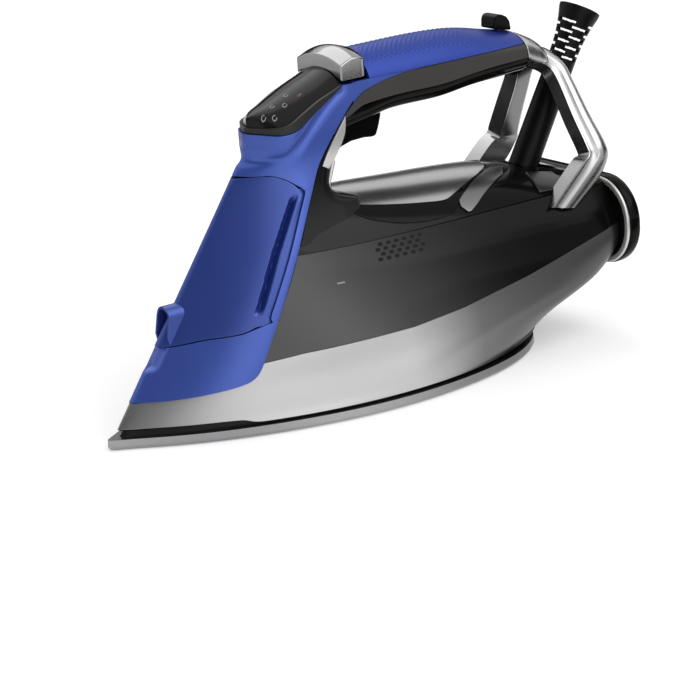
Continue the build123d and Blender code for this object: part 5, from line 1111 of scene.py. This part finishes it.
make_piece("cord_guard_sleeve", [guard_grid(331, 97)], GUARD, "cord_swivel", ["cord_guard"],
           core=[(261, 0, 86), (305, 0, 163)], wall=1.7, edge=0.25, gaps=in_guard_slot)

# Deck leaves, and a dark band of painted shadow beside the first leaf

DECK_LINE = [(80, 101.4), (110, 101.2), (142, 100.8), (172, 99), (227, 95), (256, 90), (286, 82), (300, 78)]
DECK_CORE = [(135, 0, 50), (275, 0, 50)]
LEAF_LIFT, SHADOW_LIFT = 1.1, 0.45


def on_deck(station, y, lift):
    """Points over the deck, whose height is a circle arc from the tank's shoulder over the crown line."""
    z = arc_height(y, body_half(station, DECK_SEAM), DECK_SEAM - 1, smooth(station, DECK_LINE))
    return lifted(place(station, y, z), lift, UP)


LEAF_EDGE = [(129, 15.5), (139, 20.5), (150, 23.2), (163, 25.2), (178, 26.8), (186, 27.4), (190, 27.0), (196, 25.0),
             (204, 21.8), (212, 18.4), (219.5, 15.0), (226, 11.0), (230, 7.0), (232.5, 0.0)]
LEAF_RUNS = [(129, 186, 50), (186, 230, 70), (230, 232.5, 8)]
leaf_s = np.unique(np.concatenate([np.linspace(*run) for run in LEAF_RUNS]))[:, None]
leaf_y = np.linspace(-1, 1, 41)[None, :] * np.maximum(smooth(leaf_s, LEAF_EDGE), 0)
make_piece("deck_leaf_front", [on_deck(leaf_s, leaf_y, LEAF_LIFT)], LEAF, "base", ["deck_panel"],
           core=DECK_CORE, wall=1.3, edge=0.5, segments=3)

# Near-black band on the deck along the first leaf's edge, reaching a little under it: painted shadow of the leaf.
SHADOW_WIDTH = [(131, 3.5), (137, 6.0), (150, 7.5), (170, 7.5), (186, 6.0), (196, 4.5), (204, 3.0)]
SHADOW_UNDER = 2
shadow_s = np.linspace(SHADOW_WIDTH[0][0], SHADOW_WIDTH[-1][0], 74)[:, None]
shadow_go = np.linspace(0, 1, 14)[None, :]
shadow_y = smooth(shadow_s, LEAF_EDGE) - SHADOW_UNDER + shadow_go * (SHADOW_UNDER + smooth(shadow_s, SHADOW_WIDTH))
make_piece("deck_leaf_painted_shadow", both_sides(on_deck(shadow_s, -shadow_y, SHADOW_LIFT)), GLOSS, "base",
           core=DECK_CORE, wall=0.8, edge=0.2)

BLADE_SIDES = (-34.0, -10.0)
BLADE_FRONT = ((10, 12.5, 20, 29, 31.5, 34), (231.0, 227.0, 212.5, 195.5, 194.5, 197.0))
BLADE_REAR = ((10, 18, 26, 32, 34), (240.0, 233.0, 217.0, 204.5, 199.0))
blade_y = np.linspace(*BLADE_SIDES, 40)[None, :]
blade_go = np.linspace(0, 1, 12)[:, None]
blade_front, blade_rear = np.interp(-blade_y, *BLADE_FRONT), np.interp(-blade_y, *BLADE_REAR)
blade = on_deck(blade_front * (1 - blade_go) + blade_rear * blade_go, blade_y, LEAF_LIFT)
make_piece("deck_leaf_blades", both_sides(blade), SECOND_LEAF, "base", core=DECK_CORE,
           wall=1.3, edge=0.5, segments=3)

REAR_SIDES, REAR_FROM = (-33, -18), 14
REAR_FRONT, REAR_BACK = (249.0, 0.25), (266.0, 0.1)
rear_y = np.linspace(*REAR_SIDES, 16)[None, :]
rear_go = np.linspace(0, 1, 16)[:, None]
rear_front, rear_back = [start + slant * (rear_y + REAR_FROM) for start, slant in (REAR_FRONT, REAR_BACK)]
rear_s = rear_front * (1 - rear_go) + rear_back * rear_go
make_piece("deck_rear_leaves", both_sides(on_deck(rear_s, rear_y, LEAF_LIFT)), REAR_LEAF, "base",
           core=DECK_CORE, wall=1.3, edge=0.4, segments=3)

# Tank dots and fill mark

DOT_FIRST, DOT_PITCH, DOT_RADII = (138.5, 71.2), (4.7, 2.2), (1.4, 0.85)
DOT_ROWS, DOT_COLUMNS = 4, 6


def on_tank(station, z):
    """Points just proud of the tank's near wall."""
    return place(station, -body_half(station, z) - MARK_LIFT, z)


def tank_dot(row, column):
    """Oval dot on the tank: rings about a spot, each second row moved by half a pitch."""
    radius = np.linspace(0, 1, 3)[:, None]
    turn = np.linspace(0, FULL_TURN, 15)[None, :]
    station = DOT_FIRST[0] + DOT_PITCH[0] * (column + row % 2 / 2)
    z = DOT_FIRST[1] + DOT_PITCH[1] * row
    return on_tank(station + DOT_RADII[0] * radius * np.cos(turn), z + DOT_RADII[1] * radius * np.sin(turn))


dots = [tank_dot(row, column) for row in range(DOT_ROWS) for column in range(DOT_COLUMNS)]
make_piece("tank_dots", both_sides(*dots), GLOSS, "base", core=[(100, 0, 75), (200, 0, 75)])
FILL_STATIONS, FILL_HEIGHTS = (112.5, 116.5), (64.2, 65.0)
mark_s, mark_z = np.meshgrid(np.linspace(*FILL_STATIONS, 8), np.linspace(*FILL_HEIGHTS, 3), indexing="ij")
make_piece("fill_mark", both_sides(on_tank(mark_s, mark_z)), MARK, "base",
           core=[(100, 0, 65), (200, 0, 65)])

# Camera: fitted to the photograph, aimed at a point over the sole's middle

AIM = Vector((0.025, 0.0, 0.070))
TURN, RISE, ROLL = math.radians(35.01), math.radians(15.35), math.radians(4.08)
DISTANCE = 1.2767
FOCAL_PX = 2.0 * 1276.7
MIDDLE_PX = (353.09, 242.6)
IMAGE_PX = 700
SENSOR = 36.0

back = Vector((-math.sin(TURN) * math.cos(RISE), -math.cos(TURN) * math.cos(RISE), math.sin(RISE)))
right = Vector((math.cos(TURN), -math.sin(TURN), 0.0))
up = back.cross(right)
right, up = math.cos(ROLL) * right - math.sin(ROLL) * up, math.sin(ROLL) * right + math.cos(ROLL) * up
optics = bpy.data.cameras.new("photo_camera")
optics.sensor_width = SENSOR
optics.lens = FOCAL_PX * SENSOR / IMAGE_PX
optics.shift_x = (IMAGE_PX / 2 - MIDDLE_PX[0]) / IMAGE_PX
optics.shift_y = (MIDDLE_PX[1] - IMAGE_PX / 2) / IMAGE_PX
camera = bpy.data.objects.new("photo_camera", optics)
camera.matrix_world = Matrix([(*axes, 0) for axes in (right, up, back)] + [(*(AIM + DISTANCE * back), 1)]).transposed()
bpy.context.scene.collection.objects.link(camera)
bpy.context.scene.camera = camera

# Studio: pale floor and white surroundings, soft lamps, dark cards that only mirrors see

WHITE = (1, 1, 1, 1)
WORLD_LIGHT = 0.55
FLOOR_DROP, FLOOR_SIZE = -0.0004, 14.0
FLOOR_COLOUR, FLOOR_GLOW, FLOOR_ROUGH = (*grey(0.86), 1), (*grey(0.30), 1), 0.9
CARD_COLOUR = (*grey(0.02), 1)
CARD_AIM = (0.02, 0.0, 0.08)
# Lamps: place, aim, size and power
LAMPS = {"key": ((0.6, -1.3, 1.5), (0.0, 0.0, 0.08), 1.7, 19.0),
         "fill": ((-0.25, -1.9, 0.55), (0.0, 0.0, 0.08), 1.5, 5.5),
         "rim": ((0.2, 1.0, 1.6), (0.05, 0.0, 0.1), 1.5, 10.0)}
# Cards: place, width and height; the low ones lie on the floor
CARDS = {"card_left": ((-1.40, -0.85, 1.05), 1.6, 1.5), "card_right": ((1.7, -0.75, 0.35), 1.5, 1.2),
         "card_back": ((0.8, 1.5, 0.42), 2.8, 0.62), "card_low": ((0.36, -0.42, 0.004), 0.5, 0.5),
         "card_behind": ((-0.12, 0.38, 0.004), 0.6, 0.5)}
LOW_CARD = 0.1


def seen_rays(tree):
    """Number that is 1 for camera, mirror and see-through rays, and 0 for the rest."""
    path = tree.nodes.new("ShaderNodeLightPath")
    last = path.outputs["Is Camera Ray"]
    for label in ("Is Glossy Ray", "Is Transmission Ray"):
        most = tree.nodes.new("ShaderNodeMath")
        most.operation = "MAXIMUM"
        tree.links.new(last, most.inputs[0])
        tree.links.new(path.outputs[label], most.inputs[1])
        last = most.outputs[0]
    return last


def light_world():
    """World that shows white to camera, mirror and see-through rays, and lights the rest at a plain strength."""
    world = bpy.data.worlds.new("studio")
    bpy.context.scene.world = world
    world.use_nodes = True
    nodes, links = world.node_tree.nodes, world.node_tree.links
    plain, white = nodes["Background"], nodes.new("ShaderNodeBackground")
    plain.inputs["Color"].default_value = white.inputs["Color"].default_value = WHITE
    plain.inputs["Strength"].default_value = WORLD_LIGHT
    both = nodes.new("ShaderNodeMixShader")
    links.new(seen_rays(world.node_tree), both.inputs[0])
    links.new(plain.outputs[0], both.inputs[1])
    links.new(white.outputs[0], both.inputs[2])
    links.new(both.outputs[0], nodes["World Output"].inputs["Surface"])


def turned_to(spot, aim):
    """Turn of an object at a spot whose front, its own -Z, looks at an aim."""
    return (Vector(spot) - Vector(aim)).to_track_quat("Z", "Y").to_euler()


def soft_lamp(name, spot, aim, size, energy):
    """Square area lamp at a spot, turned to an aim."""
    lamp = bpy.data.objects.new(name, bpy.data.lights.new(name, "AREA"))
    lamp.data.size = size
    lamp.data.energy = energy
    lamp.location = spot
    lamp.rotation_euler = turned_to(spot, aim)
    bpy.context.scene.collection.objects.link(lamp)


def stage_card(name, spot, aim, wide, high, material):
    """Flat card at a spot, turned to an aim."""
    corners = [(x * wide / 2, y * high / 2, 0) for x, y in ((-1, -1), (1, -1), (1, 1), (-1, 1))]
    mesh = bpy.data.meshes.new(name)
    mesh.from_pydata(corners, [], [(0, 1, 2, 3)])
    mesh.materials.append(material)
    card = bpy.data.objects.new(name, mesh)
    card.location = spot
    card.rotation_euler = turned_to(spot, aim)
    bpy.context.scene.collection.objects.link(card)
    return card


def matt(name, colour):
    """Plain matt material with no shine."""
    material = bpy.data.materials.new(name)
    material.use_nodes = True
    shader = material.node_tree.nodes["Principled BSDF"]
    shader.inputs["Base Color"].default_value = colour
    shader.inputs["Specular IOR Level"].default_value = 0.0
    return material


def floor_material():
    """Pale floor: a matt white that also glows softly to the camera and to mirrors, so that its shadow stays."""
    material = matt("pale_floor", FLOOR_COLOUR)
    nodes, links = material.node_tree.nodes, material.node_tree.links
    shader = nodes["Principled BSDF"]
    shader.inputs["Roughness"].default_value = FLOOR_ROUGH
    glow = nodes.new("ShaderNodeEmission")
    glow.inputs["Color"].default_value = FLOOR_GLOW
    links.new(seen_rays(material.node_tree), glow.inputs["Strength"])
    both = nodes.new("ShaderNodeAddShader")
    links.new(shader.outputs[0], both.inputs[0])
    links.new(glow.outputs[0], both.inputs[1])
    links.new(both.outputs[0], nodes["Material Output"].inputs["Surface"])
    return material


light_world()
for name, lamp_values in LAMPS.items():
    soft_lamp(name, *lamp_values)
stage_card("floor", (0.0, 0.0, FLOOR_DROP), (0.0, 0.0, -1.0), FLOOR_SIZE, FLOOR_SIZE, floor_material())
dark = matt("dark_card", CARD_COLOUR)
for name, (spot, wide, high) in CARDS.items():
    card = stage_card(name, spot, (*spot[:2], -1.0) if spot[2] < LOW_CARD else CARD_AIM, wide, high, dark)
    card.visible_camera = card.visible_diffuse = card.visible_shadow = card.visible_transmission = False
bpy.context.scene.view_settings.view_transform = "Standard"
